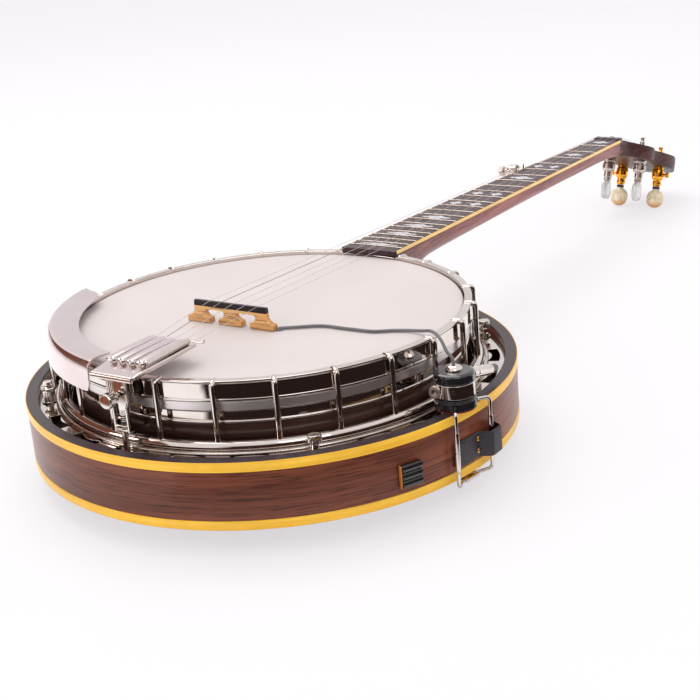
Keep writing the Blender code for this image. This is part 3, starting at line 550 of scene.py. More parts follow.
def build_pot():
    rim = [(RIM_INNER_R, 18), (RIM_R, 18), (RIM_R, RIM_TOP), (RIM_INNER_R, RIM_TOP)]
    piece("rim_shell", ring(rim, 1), "rim_wood", "wood_rim")

    base = RIM_TOP + 0.3
    shoulder = COLLAR_BOTTOM - 0.5
    tone = [(RIM_INNER_R + 0.5, base), (SKIRT_R, base), (SKIRT_R, base + 1.2), (SKIRT_R - 0.7, base + 1.7),
        (SKIRT_R - 0.7, shoulder - 1), (SKIRT_R, shoulder - 0.8), (RING_R, shoulder),
        (RING_R, HEAD_TOP - 1.6), (RING_R - 2, HEAD_TOP - 0.8), (RIM_INNER_R + 0.5, HEAD_TOP - 7)]
    piece("tone_ring_casting", ring(tone, 0.5), "chrome", "tone_ring")

    inner = RING_R + 0.3
    film = [(4, HEAD_TOP - 0.5), (inner - 1.2, HEAD_TOP - 0.5), (inner, HEAD_TOP - 1.4),
        (inner, COLLAR_BOTTOM + 0.8), (inner + 0.5, COLLAR_BOTTOM + 0.8), (inner + 0.5, HEAD_TOP - 1),
        (inner - 0.6, HEAD_TOP - 0.1), (inner - 4, HEAD_TOP), (4, HEAD_TOP)]
    piece("head_film_disc", Shape().turn(fillet(film, 0.5), steps=RING_STEPS), "film", "drum_head")
    collar = [(inner + 0.6, COLLAR_BOTTOM), (145.5, COLLAR_BOTTOM), (145.5, HOOP_BOTTOM - 0.3),
        (inner + 0.6, HOOP_BOTTOM - 0.3)]
    piece("head_collar", ring(collar, 0.7), "collar")

    loops = []
    for step in range(RING_STEPS * 2):
        degrees = 180 * step / RING_STEPS
        top = HOOP_TOP
        if abs(polar(HOOP_R, degrees).x) < 26.3 and polar(1, degrees).y > 0:
            top -= 1.4
        outline = [(HOOP_INNER_R, HOOP_BOTTOM), (HOOP_R, HOOP_BOTTOM), (HOOP_R, HOOP_BOTTOM + 1.4),
            (HOOP_R - 0.4, HOOP_BOTTOM + 2), (HOOP_R - 0.4, top - 1.8), (HOOP_R, top - 1.2), (HOOP_R, top),
            (HOOP_INNER_R, top)]
        loops.append([polar(radius, degrees, z) for radius, z in fillet(outline, 0.6, True)])
    piece("tension_hoop_ring", Shape().skin(loops, True), "chrome", "tension_hoop")

    hooks, nuts = Shape(), Shape()
    for degrees in HOOK_ANGLES:
        top = HOOP_TOP - 0.9
        key = [polar(HOOP_INNER_R + 1.6, degrees, top), polar(HOOK_LINE_R, degrees, top),
            polar(HOOK_LINE_R, degrees, HOOK_BOTTOM)]
        hooks.tube(fillet(key, 2.8, steps=5), HOOK_R, 14)
        nut_place = moved(polar(HOOK_LINE_R, degrees, HOOK_BOTTOM + 2))
        nuts.turn([(4, 0), (4, 6.8)], nut_place, 6)
        nuts.turn([(4.4, 7.1), (4.4, 7.9)], nut_place, 24)
    piece("tension_hooks", hooks, "chrome")
    piece("hook_nuts", nuts, "dull_chrome", bevel=0.3)


def build_flange():
    tube = [(HOOK_LINE_R + TUBE_R * c, TUBE_Z + TUBE_R * s) for c, s in circle(24)]
    piece("flange_tube_ring", ring(tube), "chrome", "flange_tube")

    ledge = [(153.4, PLATE_TOP + 0.1), (156, PLATE_TOP + 0.1), (156, PLATE_TOP + 2.2),
        (155.2, PLATE_TOP + 3), (153.4, PLATE_TOP + 3)]
    piece("flange_ledge", ring(ledge, 0.6), "dull_chrome")

    cell_steps = 20
    count = 24 * cell_steps
    thick, rows = 1.3, 4

    def slot_radii(step):
        """Inner and outer radius of the cut-out at one step, or None on the solid web."""
        cell, part = divmod(step % count, cell_steps)
        s = (part - 0.5 * cell_steps) / (0.32 * cell_steps)
        if cell % 6 == 3 or abs(s) > 1:
            return None
        return 157.2 + 1.4 * cos(pi * s), 164.2 - 1.2 * s * s

    shape = Shape()
    for level in (PLATE_TOP - thick, PLATE_TOP):
        for row in range(rows):
            for step in range(count):
                slot = slot_radii(step) or (158.5, 162.5)
                radius = (144.5, slot[0], slot[1], 167.6)[row]
                shape.points.append(polar(radius, 15 * step / cell_steps + 7.5 - 15, level))

    def index(level, row, step):
        return (level * rows + row) * count + step % count

    def is_open(row, step):
        return row == 1 and slot_radii(step) is not None and slot_radii(step + 1) is not None

    for row in range(rows - 1):
        for step in range(count):
            if is_open(row, step):
                continue
            corners = ((row, step), (row, step + 1), (row + 1, step + 1), (row + 1, step))
            for level in (0, 1):
                shape.faces.append(tuple(index(level, *corner) for corner in corners))
            exposed = ((row == 0 or is_open(row - 1, step), 0, 1), (is_open(row, step + 1), 1, 2),
                (row == rows - 2 or is_open(row + 1, step), 3, 2), (is_open(row, step - 1), 0, 3))
            for bare, a, b in exposed:
                if bare:
                    shape.faces.append((index(0, *corners[a]), index(0, *corners[b]), index(1, *corners[b]),
                        index(1, *corners[a])))
    piece("flange_slotted_plate", shape, "chrome", "flange_plate", bevel=0.2, segments=1)

    for number, degrees in enumerate((45, 135, 225, 315), start=1):
        place = moved(polar(160.5, degrees, PLATE_TOP))
        body = "resonator_screw_%d_turns" % number
        screw = Shape()
        screw.turn([(2, -10), (2, 0.3), (3.4, 0.3), (3.4, 2.6), (2.6, 3.2), (2.4, 6.4)], place, 24)
        screw.turn([(2.8, 6.4), (4.5, 7), (4.6, 8.2), (4.6, 11.8), (4.1, 12.8), (1.2, 13)], place, 96,
            ribs=20, depth=0.25, soft=0.3)
        piece("resonator_thumbscrew_%d" % number, screw, "chrome", "resonator_screw_%d" % number, body)
        washer = [(3.6, 0.2), (5.2, 0.2), (5.2, 0.9), (3.6, 0.9)]
        piece("resonator_washer_%d" % number, Shape().turn(washer, place, 32, ring=True), "dull_chrome")


def keep_frame_nodes():
    """CAD nodes inside the pot whose shape is right as it is."""
    for name in ("coordinator_rod_upper", "coordinator_rod_lower"):
        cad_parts[name].material_slots[0].material = LOOKS["steel"][1]


# ---------------------------------------------------------------- neck
PEGHEAD = (moved((0, NUT_Y + NUT_T + 1.2, board_z(NUT_Y) - BOARD_T + 2.1))
    @ Matrix.Rotation(-PEGHEAD_ANGLE, 4, "X"))
PEGHEAD_HALF = (  # distance beyond the nut, half width
    (0, 15.8), (14, 18), (26, 23.5), (38, 29.2), (50, 31.8), (60, 30.6), (67, 26.8), (74, 26.2),
    (86, 28.5), (100, 32.2), (114, 33.6), (127, 31.6), (136, 26.6), (146, 25), (154, 21), (158.5, 12))
NECK_BOTTOM = (  # y, height of the underside
    (150, 59), (164, 59.2), (174, 60.6), (181, 64), (188, 67.4), (200, 70.2), (220, 71.2),
    (260, 71.1), (360, 70.5), (460, 69.2), (560, 67.2), (600, 65.5), (621.7, 63.3), (630, 62.2))


def neck_loop(y, half_bass, half_treble, top, bottom, square, place=None):
    """Closed cross section. square runs from 0, a D, to 1, a plank with soft corners."""
    centre = 0.5 * (half_treble - half_bass)
    half = 0.5 * (half_treble + half_bass)
    edge = top - 2.8 * (1 - square) - square
    power = 0.80 * (1 - square) + 0.16 * square
    spread = 1 - square + 0.16 * square
    loop = [(centre + (half - 0.4) * (k / 4 - 1), y, top) for k in range(9)]
    for k in range(25):
        c, s = cos(pi * k / 24), sin(pi * k / 24)
        loop.append((centre + half * copysign(abs(c) ** spread, c), y, edge - (edge - bottom) * s ** power))
    return [place @ Vector(point) for point in loop] if place else loop


def build_neck():
    loops = []
    y = 150
    while y < NUT_Y + 0.1:
        bass, treble = half_widths(y)
        loops.append(neck_loop(y, bass - 0.1, treble - 0.1, board_z(y) - BOARD_T - 0.3,
            spline(NECK_BOTTOM, y), 0))
        y += 4 if y < 210 or y > SHOULDER_Y - 10 else 15
    for along in [4, 9, 14] + [19.5 + 3.5 * k for k in range(39)] + [158.3]:
        square = min(1, along / 30)
        half = spline(PEGHEAD_HALF, along)
        drop = PEGHEAD_T + 4.5 * (1 - square) ** 2
        loops.append(neck_loop(along, half, half, 0, -drop, square, PEGHEAD))
    carving = piece("neck_carving", Shape().skin(loops), "neck_wood", "neck")
    carving.data.materials.append(LOOKS["peghead_wood"][1])
    for face in carving.data.polygons:
        face.material_index = int(face.center.y > (NUT_Y + 2) * MM)
    piece("neck_heel_tenon", Shape().box((-18, 144, 59), (18, 150.2, 70.4)), "neck_wood", bevel=0.8)

    outline = [(spline(PEGHEAD_HALF, 3 * k) - 0.6, 3 * k) for k in range(2, 53)]
    outline += [(-half, along) for half, along in reversed(outline)]
    piece("peghead_veneer", Shape().prism(outline, 0.1, 0.9, PEGHEAD), "ebony", bevel=0.2)
    cover = fillet([(9, 8.5), (7.4, 23), (0, 31), (-7.4, 23), (-9, 8.5)], 3, True)
    piece("truss_rod_plate", Shape().prism(cover, 0.9, 2.4, PEGHEAD), "black", "truss_rod_cover", bevel=0.3)
    screws = Shape()
    for x, along in ((0, 26.5), (-5.5, 11.5), (5.5, 11.5)):
        screws.turn([(1.3, 2.4), (1.3, 2.7), (0.6, 3.2)], PEGHEAD @ moved((x, along, 0)), 16)
    piece("truss_rod_screws", screws, "chrome")


def build_fingerboard():
    strip, corner = 1, 2.4
    square_from = BOARD_END_Y + corner
    stations = [square_from + 11 * k for k in range(31)]
    stations += [SHOULDER_Y + 14 * k / 8 for k in range(9)] + [NUT_Y - 0.4]
    rows = [(BOARD_END_Y + corner * part, corner * (1 - sqrt(1 - (1 - part) ** 2)))
        for part in (0, 0.08, 0.3, 0.6, 1)]
    loops = []
    for y, inset in rows + [(y, strip) for y in stations]:
        bass, treble = half_widths(y)
        top, low = board_z(y), board_z(y) - BOARD_T
        loops.append([(inset - bass, y, low), (inset - bass, y, top - 0.3), (-0.5 * bass, y, top),
            (0.5 * treble, y, top), (treble - inset, y, top - 0.3), (treble - inset, y, low)])

    def strips(side, low, left, right):
        """Loops of a strip along the bass side, 0, or the treble side, 1, given depths below the top."""
        found = []
        for y in stations:
            bass, treble = half_widths(y)
            x = (-bass, treble - strip)[side]
            found.append([(x, y, board_z(y) - low), (x + strip, y, board_z(y) - low),
                (x + strip, y, board_z(y) - right), (x, y, board_z(y) - left)])
        return found

    lining = Shape()
    for side in (0, 1):
        lining.skin(strips(side, BOARD_T, 2.95, 2.95))
    piece("fingerboard_side_lining", lining, "neck_wood", bevel=0.2)
    piece("fingerboard_plank", Shape().skin(loops), "ebony", "fingerboard", bevel=0.3)
    for side, name, left, right in ((0, "bass", 0.5, 0.3), (1, "treble", 0.3, 0.5)):
        piece("fingerboard_binding_" + name, Shape().skin(strips(side, 2.9, left, right)), "neck_binding",
            bevel=0.3)

    frets = Shape()
    arch = fillet([(-0.8, 0), (0.8, 0), (0.5, 0.9), (-0.5, 0.9)], 0.4, True)
    for number in range(1, 23):
        y = fret_y(number)
        bass, treble = half_widths(y)
        ends = ((-bass + 0.4, -0.4), (-bass + 1.4, 0), (-0.4 * bass, 0.2), (0.4 * treble, 0.2),
            (treble - 1.4, 0), (treble - 0.4, -0.4))
        frets.skin([[(x, y + a, board_z(y) - 0.3 + b + lift) for a, b in arch] for x, lift in ends])
    piece("frets", frets, "dull_chrome")

    inlays = Shape()
    slope = (BOARD_NUT_Z - BOARD_END_Z) / (NUT_Y - BOARD_END_Y)
    for number in (1, 3, 5, 7, 10, 12, 15, 17, 19, 22):
        middle = 0.5 * (fret_y(number) + fret_y(number - 1))
        top = board_z(middle) + 0.04
        bass, treble = half_widths(middle)
        reach = 0.50 * (treble + bass)
        long = min(6.2, 0.34 * (fret_y(number - 1) - fret_y(number)))
        parts = [(0, reach * 0.60, long)] if number % 2 else [(0, reach * 0.72, long * 0.8)]
        if number in (12, 5, 10):
            parts = [(sign * reach * 0.42, reach * 0.26, long) for sign in (-1, 1)]
        for shift, half, tall in parts:
            outline = []
            for k, (c, s) in enumerate(circle(24)):
                swell = 0.78 + 0.22 * cos(pi * k / 3)
                waist = 0.6 + 0.4 * abs(cos(pi * k / 6))
                outline.append((0.5 * (treble - bass) + shift + half * swell * c, middle + tall * waist * s))
            inlays.skin([[(x, y, top + slope * (y - middle) + z) for x, y in outline] for z in (-0.5, 0.1)])
    piece("fingerboard_inlays", inlays, "inlay")

    top, half = board_z(NUT_Y), BOARD_NUT_HALF
    face = [(-half, top - BOARD_T), (half, top - BOARD_T), (half, top + 0.8)]
    for number in range(4):
        x = NUT_PITCH * (1.5 - number)
        face += [(x + 1, top + 1.7), (x + 0.3, top + 1.5), (x - 0.3, top + 1.5), (x - 1, top + 1.7)]
    face.append((-half, top + 0.8))
    block = Shape().skin([[(x, y, z) for x, z in face] for y in (NUT_Y, NUT_Y + NUT_T)])
    piece("nut_block", block, "nut", "nut", bevel=0.2)


# ---------------------------------------------------------------- tuners
def button_shape(place):
    """Flattened oval tuner button on a short stem, along local Z."""
    keys = ((3, 3, 0), (3, 3, 3), (4.4, 3.6, 4.2), (7.6, 4.4, 6.2), (9.5, 4.7, 9), (10.1, 4.8, 12),
        (9.9, 4.8, 15.5), (8.8, 4.6, 19), (6.6, 4.1, 21.6), (3.6, 3.2, 23.1), (1.2, 1.2, 23.5))
    return Shape().skin([[(wide * c, thick * s, along) for c, s in circle(32)]
        for wide, thick, along in keys], place=place)


FAR_CASE = (  # radius, height above the back of the peghead
    (5.8, 0), (5.8, -2.8), (6.6, -3.4), (6.8, -6.6), (6.8, -11.2), (6, -13.2), (4.6, -15),
    (4.4, -16.8), (5, -17.2), (5, -20), (4.2, -20.5), (4.2, -22.2))
NEAR_CASE = ((7.2, 0), (7.2, -2), (6.2, -2.4), (6.2, -4.6), (7.2, -5.2), (7.2, -10.8), (6.2, -12.6),
    (4.6, -13.4), (4.6, -19.6), (4, -20), (4, -20.7))


def build_tuners():
    normal = (PEGHEAD.to_3x3() @ Z).normalized()
    number = 0
    for along, half in TUNER_PAIRS:
        for sign in (-1, 1):
            number += 1
            far = along > 80
            look = "gold" if far else "dull_chrome"
            name = "tuner_%d_" % number
            face = PEGHEAD @ Vector((sign * half, along, 0))
            place = frame_at(face, normal)
            back = -(PEGHEAD_T + 0.3)
            stem = 22.5 if far else 21
            behind = place @ moved((0, 0, back))
            case = Shape().turn(FAR_CASE if far else NEAR_CASE, behind, 48, soft=0.4)
            if far:
                knob = behind @ moved((0, 0, -8.6)) @ frame_at((0, 0, 0), X * sign, Z)
                case.turn([(1.8, 5), (1.8, 9.8), (3, 10.1), (3, 12.8), (1.6, 13.2)], knob, 48, ribs=16,
                    depth=0.3, soft=0.2)
            piece(name + "case", case, look, name + "housing")
            bush = [(3.6, 0.9), (6.2, 0.9), (6.2, 1.6), (4.8, 2.6), (3.6, 2.6)]
            piece(name + "bushing", Shape().turn(bush, place, 40, ring=True, soft=0.2), look)

            tall = 8.2 if far else 11.2
            post = Shape().turn([(3, -PEGHEAD_T), (3, 1.2), (2.5, 1.6), (2.5, tall - 4.6), (1.9, tall - 3.8),
                (1.9, tall - 2), (2.5, tall - 1.2), (2.5, tall)], place, 32, soft=0.2)
            piece(name + "capstan", post, look, name + "post", name + "capstan")
            turns = (circle(16) * 4)[:49]
            coil = [place @ Vector((2.7 * c, 2.7 * s, tall - 7.8 + 1.1 * step / 16))
                for step, (c, s) in enumerate(turns)]
            piece(name + "string_coil", Shape().tube(coil, 0.18, 6), "steel", body=name + "capstan")

            side = X if far else Y
            knob = frame_at(face + normal * (back - stem), -normal, side)
            collar = Shape().turn([(3.6, 0.2), (4.2, 0.4), (4.2, 2.2), (3.4, 2.8)], knob, 32, soft=0.2)
            piece(name + "button_collar", collar, "black" if far else "dull_chrome", body=name + "knob")
            piece(name + "button_shell", button_shape(knob), "aged_pearl" if far else "clear",
                name + "button", name + "knob")

    bass, _ = half_widths(FIFTH_PEG_Y)
    tilt = radians(4)
    axis = Vector((-cos(tilt), 0, -sin(tilt)))
    place = frame_at(Vector((-bass, FIFTH_PEG_Y, board_z(FIFTH_PEG_Y) - 4.6)) + axis * 0.6, axis, Z)
    post = [(4, 0), (4, 1), (2.8, 1.6), (2.4, 4), (2.8, 7), (3.6, 7.6), (3.6, 9.2)]
    piece("fifth_tuner_capstan", Shape().turn(post, place, 40, soft=0.3), "dull_chrome", "fifth_tuner_post",
        "fifth_tuner_capstan")
    case = [(5.2, 9.5), (6.4, 10.2), (6.4, 13), (6.1, 13.4), (6.1, 15), (6.4, 15.4), (6.4, 18), (5.2, 19.6),
        (3, 20), (3, 21.2)]
    piece("fifth_tuner_case", Shape().turn(case, place, 48, soft=0.3), "dull_chrome", "fifth_tuner_housing")
    knob = [(2.4, 21.5), (2.4, 23.2), (4.4, 24), (5.2, 25.2), (5.2, 28.2), (3.8, 29.4), (1, 29.6)]
    piece("fifth_tuner_knurled_knob", Shape().turn(knob, place, 96, ribs=20, depth=0.4, soft=0.3),
        "dull_chrome", "fifth_tuner_button", "fifth_tuner_knob")
    y = fret_y(5) - 1
    bass, _ = half_widths(y)
    spike = Shape().tube([(-bass + 3.4, y - 1, board_z(y) - 1), (-bass + 3.4, y - 1, board_z(y) + 2.4),
        (-bass + 2.8, y + 0.6, board_z(y) + 4)], 0.6, 8)
    piece("fifth_string_spike", spike, "black")


# ---------------------------------------------------------------- bridge and strings
def bridge_loops(outline, low, high):
    """Front and back outlines, closer together towards the top."""
    return [[(x + BRIDGE_SHIFT, BRIDGE_Y + side * (3.2 - 2 * (z - low) / (high - low)), z)
        for x, z in outline] for side in (-1, 1)]


def build_bridge():
    top = HEAD_TOP + BRIDGE_H
    low = HEAD_TOP + 0.3
    cap = top - 4
    side = [(37, 0), (37, 3.4), (36.6, 4), (34, 4.6), (32.2, 5.8), (31.3, 7.6)]
    outline = [(-x, low + z) for x, z in side] + [(-31.3, cap), (31.3, cap)]
    outline += [(x, low + z) for x, z in reversed(side)]
    arch = [(3.7, 0), (3.7, 3.4), (4.1, 4), (6.2, 4.6), (7.8, 5.8), (8.4, 7.2), (8.2, 8.6), (7, 9.4),
        (5, 9.6)]
    for middle in (13.6, -13.6):
        outline += [(middle + x, low + z) for x, z in arch]
        outline += [(middle - x, low + z) for x, z in reversed(arch)]
    piece("bridge_body", Shape().skin(bridge_loops(outline, low, top)), "maple", "bridge", bevel=0.3)
    edge = [(-31.3, cap + 0.1), (31.3, cap + 0.1), (31.2, top - 0.2), (31, top)]
    for number in range(5):
        x = BRIDGE_PITCH * (2 - number) - BRIDGE_SHIFT
        edge += [(x + 0.6, top), (x + 0.3, top - 0.3), (x - 0.3, top - 0.3), (x - 0.6, top)]
    edge += [(-31, top), (-31.2, top - 0.2)]
    piece("bridge_ebony_cap", Shape().skin(bridge_loops(edge, low, top)), "ebony_cap", bevel=0.2)


TAIL_TIP_Y = -100.5
TAIL_TIP_Z = 101.8


def build_strings():
    crown = HEAD_TOP + BRIDGE_H
    rest = board_z(NUT_Y) + 1.8
    gauges = (0.25, 0.28, 0.33, 0.51, 0.25)
    posts = ((0, 1), (1, 1), (1, -1), (0, -1))
    for number, gauge in enumerate(gauges, start=1):
        radius = 0.5 * gauge
        bridge_x = BRIDGE_PITCH * (3 - number)
        route = [Vector((TAIL_PITCH * (3 - number), TAIL_TIP_Y + 0.4, TAIL_TIP_Z)),
            Vector((bridge_x, BRIDGE_Y - 1.2, crown + radius)),
            Vector((bridge_x, BRIDGE_Y + 1.2, crown + radius))]
        if number == 5:
            y = fret_y(5) - 1
            bass, _ = half_widths(y)
            route += [Vector((-bass + 3, y, board_z(y) + 3)),
                Vector((-bass - 2.2, FIFTH_PEG_Y - 3.6, board_z(y) - 1))]
        else:
            pair, sign = posts[number - 1]
            along, half = TUNER_PAIRS[pair]
            nut_x = NUT_PITCH * (2.5 - number)
            route += [Vector((nut_x, NUT_Y - 0.2, rest + radius)),
                Vector((nut_x, NUT_Y + 4.7, rest + radius)),
                PEGHEAD @ Vector((sign * (half - 3), along, 3.4))]
        look = "wound" if number == 4 else "steel"
        piece("string_%d_wire" % number, Shape().tube(route, max(radius, 0.16), 8), look,
            "string_%d" % number)


# ---------------------------------------------------------------- tailpiece
def build_tailpiece():
    def half_at(y):
        return spline(((-169, 20.5), (-148, 21.2), (-130, 21.2), (TAIL_TIP_Y, 20.2)), y)

    def bass_edge(y):
        return spline(((-169, -13), (-152, -15), (-142, -20), (TAIL_TIP_Y, -20.2)), y)

    stations = ((-169, 98.8, 100.4), (-168.4, 98.6, 101.4), (-160, 99, 101.7), (-150, 99.1, 101.8),
        (-144, 99.3, 101.8), (-130, 99.3, 101.9), (TAIL_TIP_Y - 4, 99.8, 102))
    base = [[(bass_edge(y), y, low), (half_at(y), y, low), (half_at(y), y, high), (bass_edge(y), y, high)]
        for y, low, high in stations]
    piece("tailpiece_base", Shape().skin(base), "satin_chrome", "tailpiece", bevel=0.5)
    lip = [(-168.8, 97.8), (-169.6, 98), (-169.9, 99), (-169.8, 100.4), (-169.2, 101.2), (-168.8, 101.2)]
    piece("tailpiece_lip", Shape().slab(lip, -13, 20.5), "chrome", bevel=0.3)
    fingers = Shape()
    for number in range(4):
        centre = -16.2 + TAIL_PITCH * number
        loops = []
        for y, half, high in ((-148.2, 2.6, 102.6), (-146.5, 3.3, 103.1), (-130, 3.6, 103.6),
                (-110, 3.6, 103.4), (-105, 3.2, 103.1), (-102.4, 2, 102.7)):
            loops.append([(centre - half, y, 101.9), (centre + half, y, 101.9),
                (centre + half, y, high - 0.9), (centre + 0.6 * half, y, high - 0.2), (centre, y, high),
                (centre - 0.6 * half, y, high - 0.2), (centre - half, y, high - 0.9)])
        fingers.skin(loops)
    piece("tailpiece_fingers", fingers, "satin_chrome", bevel=0.2, segments=1)
    barrel = [(0.8, 0), (1.7, 0.3), (2.1, 1), (2.1, 44), (1.7, 44.9), (0.8, 45.3)]
    place = frame_at((18, -152, 104.2), Vector((-0.035, 1, 0)))
    piece("tailpiece_treble_finger", Shape().turn(barrel, place, 48), "chrome")
    rails = Shape()
    rail = [(half_at(y) + 0.6, y, z) for y, z in ((-167.2, 100.6), (-164, 101.4), (-156, 101.8), (-145, 102),
        (-130, 102), (-111, 102.2), (-109, 102))]
    rails.tube(rail, 1, 12)
    hook = [(17, -108, 104), (19.6, -106.4, 103.6), (21.5, -105.8, 102.8), (25, -105, 102.8),
        (26.8, -104.5, 103.2), (27.2, -104.3, 105)]
    rails.tube(smooth_path([Vector(key) for key in hook], 3), 0.4, 8)
    piece("tailpiece_rails", rails, "chrome")
    balls, stems = Shape(), Shape()
    for number in range(4):
        place = moved((-8.4 + 7.8 * number, -151.5, 103.6))
        profile = [(2.5 * cos(pi * (k / 12 - 0.5)), 2.5 * sin(pi * (k / 12 - 0.5))) for k in range(1, 12)]
        balls.turn([(1, -2.4)] + profile + [(0.3, 2.5)], place, 28)
        stems.turn([(2.2, -2.4), (2.4, -2.2), (2.4, -1.6), (1.6, -1.3)], place, 28)
    piece("tailpiece_screw_heads", balls, "chrome")
    piece("tailpiece_screw_washers", stems, "dull_chrome")

    bracket = [(-143.6, 59.2), (-143.6, 70.2), (-148, 70.4), (-148.2, 79), (-150.2, 83), (-156.2, 98.2),
        (-159.4, 98.2), (-159.4, 79), (-161.6, 76.2), (-161.6, 59.2)]
    sides = Shape().slab(bracket, -6.2, -4.6).slab(bracket, 4.6, 6.2)
    sides.box((-4.8, -161.6, 60), (4.8, -143.6, 64))
    sides.box((-4.8, -159.2, 70), (4.8, -156, 93))
    piece("tailpiece_bracket_frame", sides, "chrome", "tailpiece_bracket", bevel=0.4)
    bolt = Shape()
    place = moved((0, -159.5, 0))
    bolt.turn([(2.1, 38), (2.1, 60)], place, 32)
    bolt.turn([(4.5, 39.2), (4.5, 43)], place, 6)
    bolt.turn([(5.2, 62), (5.2, 63.2), (3, 63.6)], place, 32)
    piece("tailpiece_bolt", bolt, "dull_chrome", bevel=0.3)
    turns = (circle(12) * 7)[:73]
    coil = [(2.8 * c, -157.8 + 2.8 * s * 0.7, 65 + step / 12 * 1.4) for step, (c, s) in enumerate(turns)]
    piece("tailpiece_spring", Shape().tube(coil, 0.45, 8), "steel")
    place = frame_at((-1, -160.3, 83.5), -Y)
    knob = [(2.2, 0), (2.2, 2), (3.6, 2.4), (3.6, 6.2), (4.6, 6.6), (5.2, 7.2), (5.2, 10.6), (4.4, 11.7),
        (1, 11.8)]
    piece("tailpiece_adjuster_knob", Shape().turn(knob, place, 96, ribs=28, depth=0.3, soft=0.2), "chrome",
        "tailpiece_adjuster", "tailpiece_adjuster_turns")


# ---------------------------------------------------------------- armrest
def build_armrest():
    outer = ((132.5, 97.5), (142, 99), (149, 99.6), (153, 98.7), (155.2, 96.2), (156.2, 92), (156.5, 86),
        (156.5, 78.5))
    inner = ((154.7, 78.5), (154.7, 86), (154.3, 90.5), (153.4, 94), (151.6, 96.4), (148.5, 97.7),
        (142, 97.2), (132.5, 96))
    first, last = -101, -168.5
    steps = 72
    loops = []
    for step in range(steps + 1):
        t = step / steps
        degrees = first + (last - first) * t
        start_tip = sqrt(max(0, 1 - (1 - min(1, t * abs(last - first) / 7)) ** 2))
        skirt = sqrt(max(0, 1 - (1 - min(1, (1 - t) * abs(last - first) / 1.8)) ** 2))
        loop = []
        for radius, z in outer + inner:
            if radius < 150:
                radius = 150 - (150 - radius) * (0.20 + 0.80 * start_tip)
            if z < 90:
                z = 90 - (90 - z) * (0.25 + 0.75 * start_tip) * (0.45 + 0.55 * skirt)
            slant = 3 * max(0, t - 0.85) / 0.15 * (156.5 - radius) / 24
            loop.append(polar(radius, degrees + slant, z))
        loops.append(loop)
    piece("armrest_shell", Shape().skin(loops), "satin_chrome", "armrest", bevel=0.4)

    strap = ((154.7, 78), (156.5, 78), (156.5, 64.2), (158, 63.2), (162.8, 63), (162.8, 61.5), (156, 61.5),
        (154.7, 63))
    piece("armrest_strap", Shape().sweep(strap, -138, -144, 6), "chrome", "armrest_clamp", bevel=0.4)
    place = moved(polar(160, -141, 61.2))
    screw = Shape()
    screw.turn([(2, -11.6), (2, -10), (3.4, -9.9), (4.2, -9.2), (4.2, -2.4), (3.6, -1.6), (2.6, -1),
        (2.6, 0)], place, 96, ribs=22, depth=0.3, soft=0.2)
    piece("armrest_clamp_knurled_screw", screw, "dull_chrome", "armrest_clamp_screw",
        "armrest_clamp_screw_turns")
    nut = Shape().turn([(3.4, 0), (3.4, 2.6)], moved(polar(160, -141, 63.4)), 6)
    piece("armrest_clamp_nut", nut, "chrome", bevel=0.3)


# ---------------------------------------------------------------- pickup jack and clamp
JACK_ANGLE = 99.5
JACK = polar(168, JACK_ANGLE)
JACK_R = 13.8
CLAMP_LEFT = 104.7
CLAMP_RIGHT = 93.2
CLAMP_R = 181.2


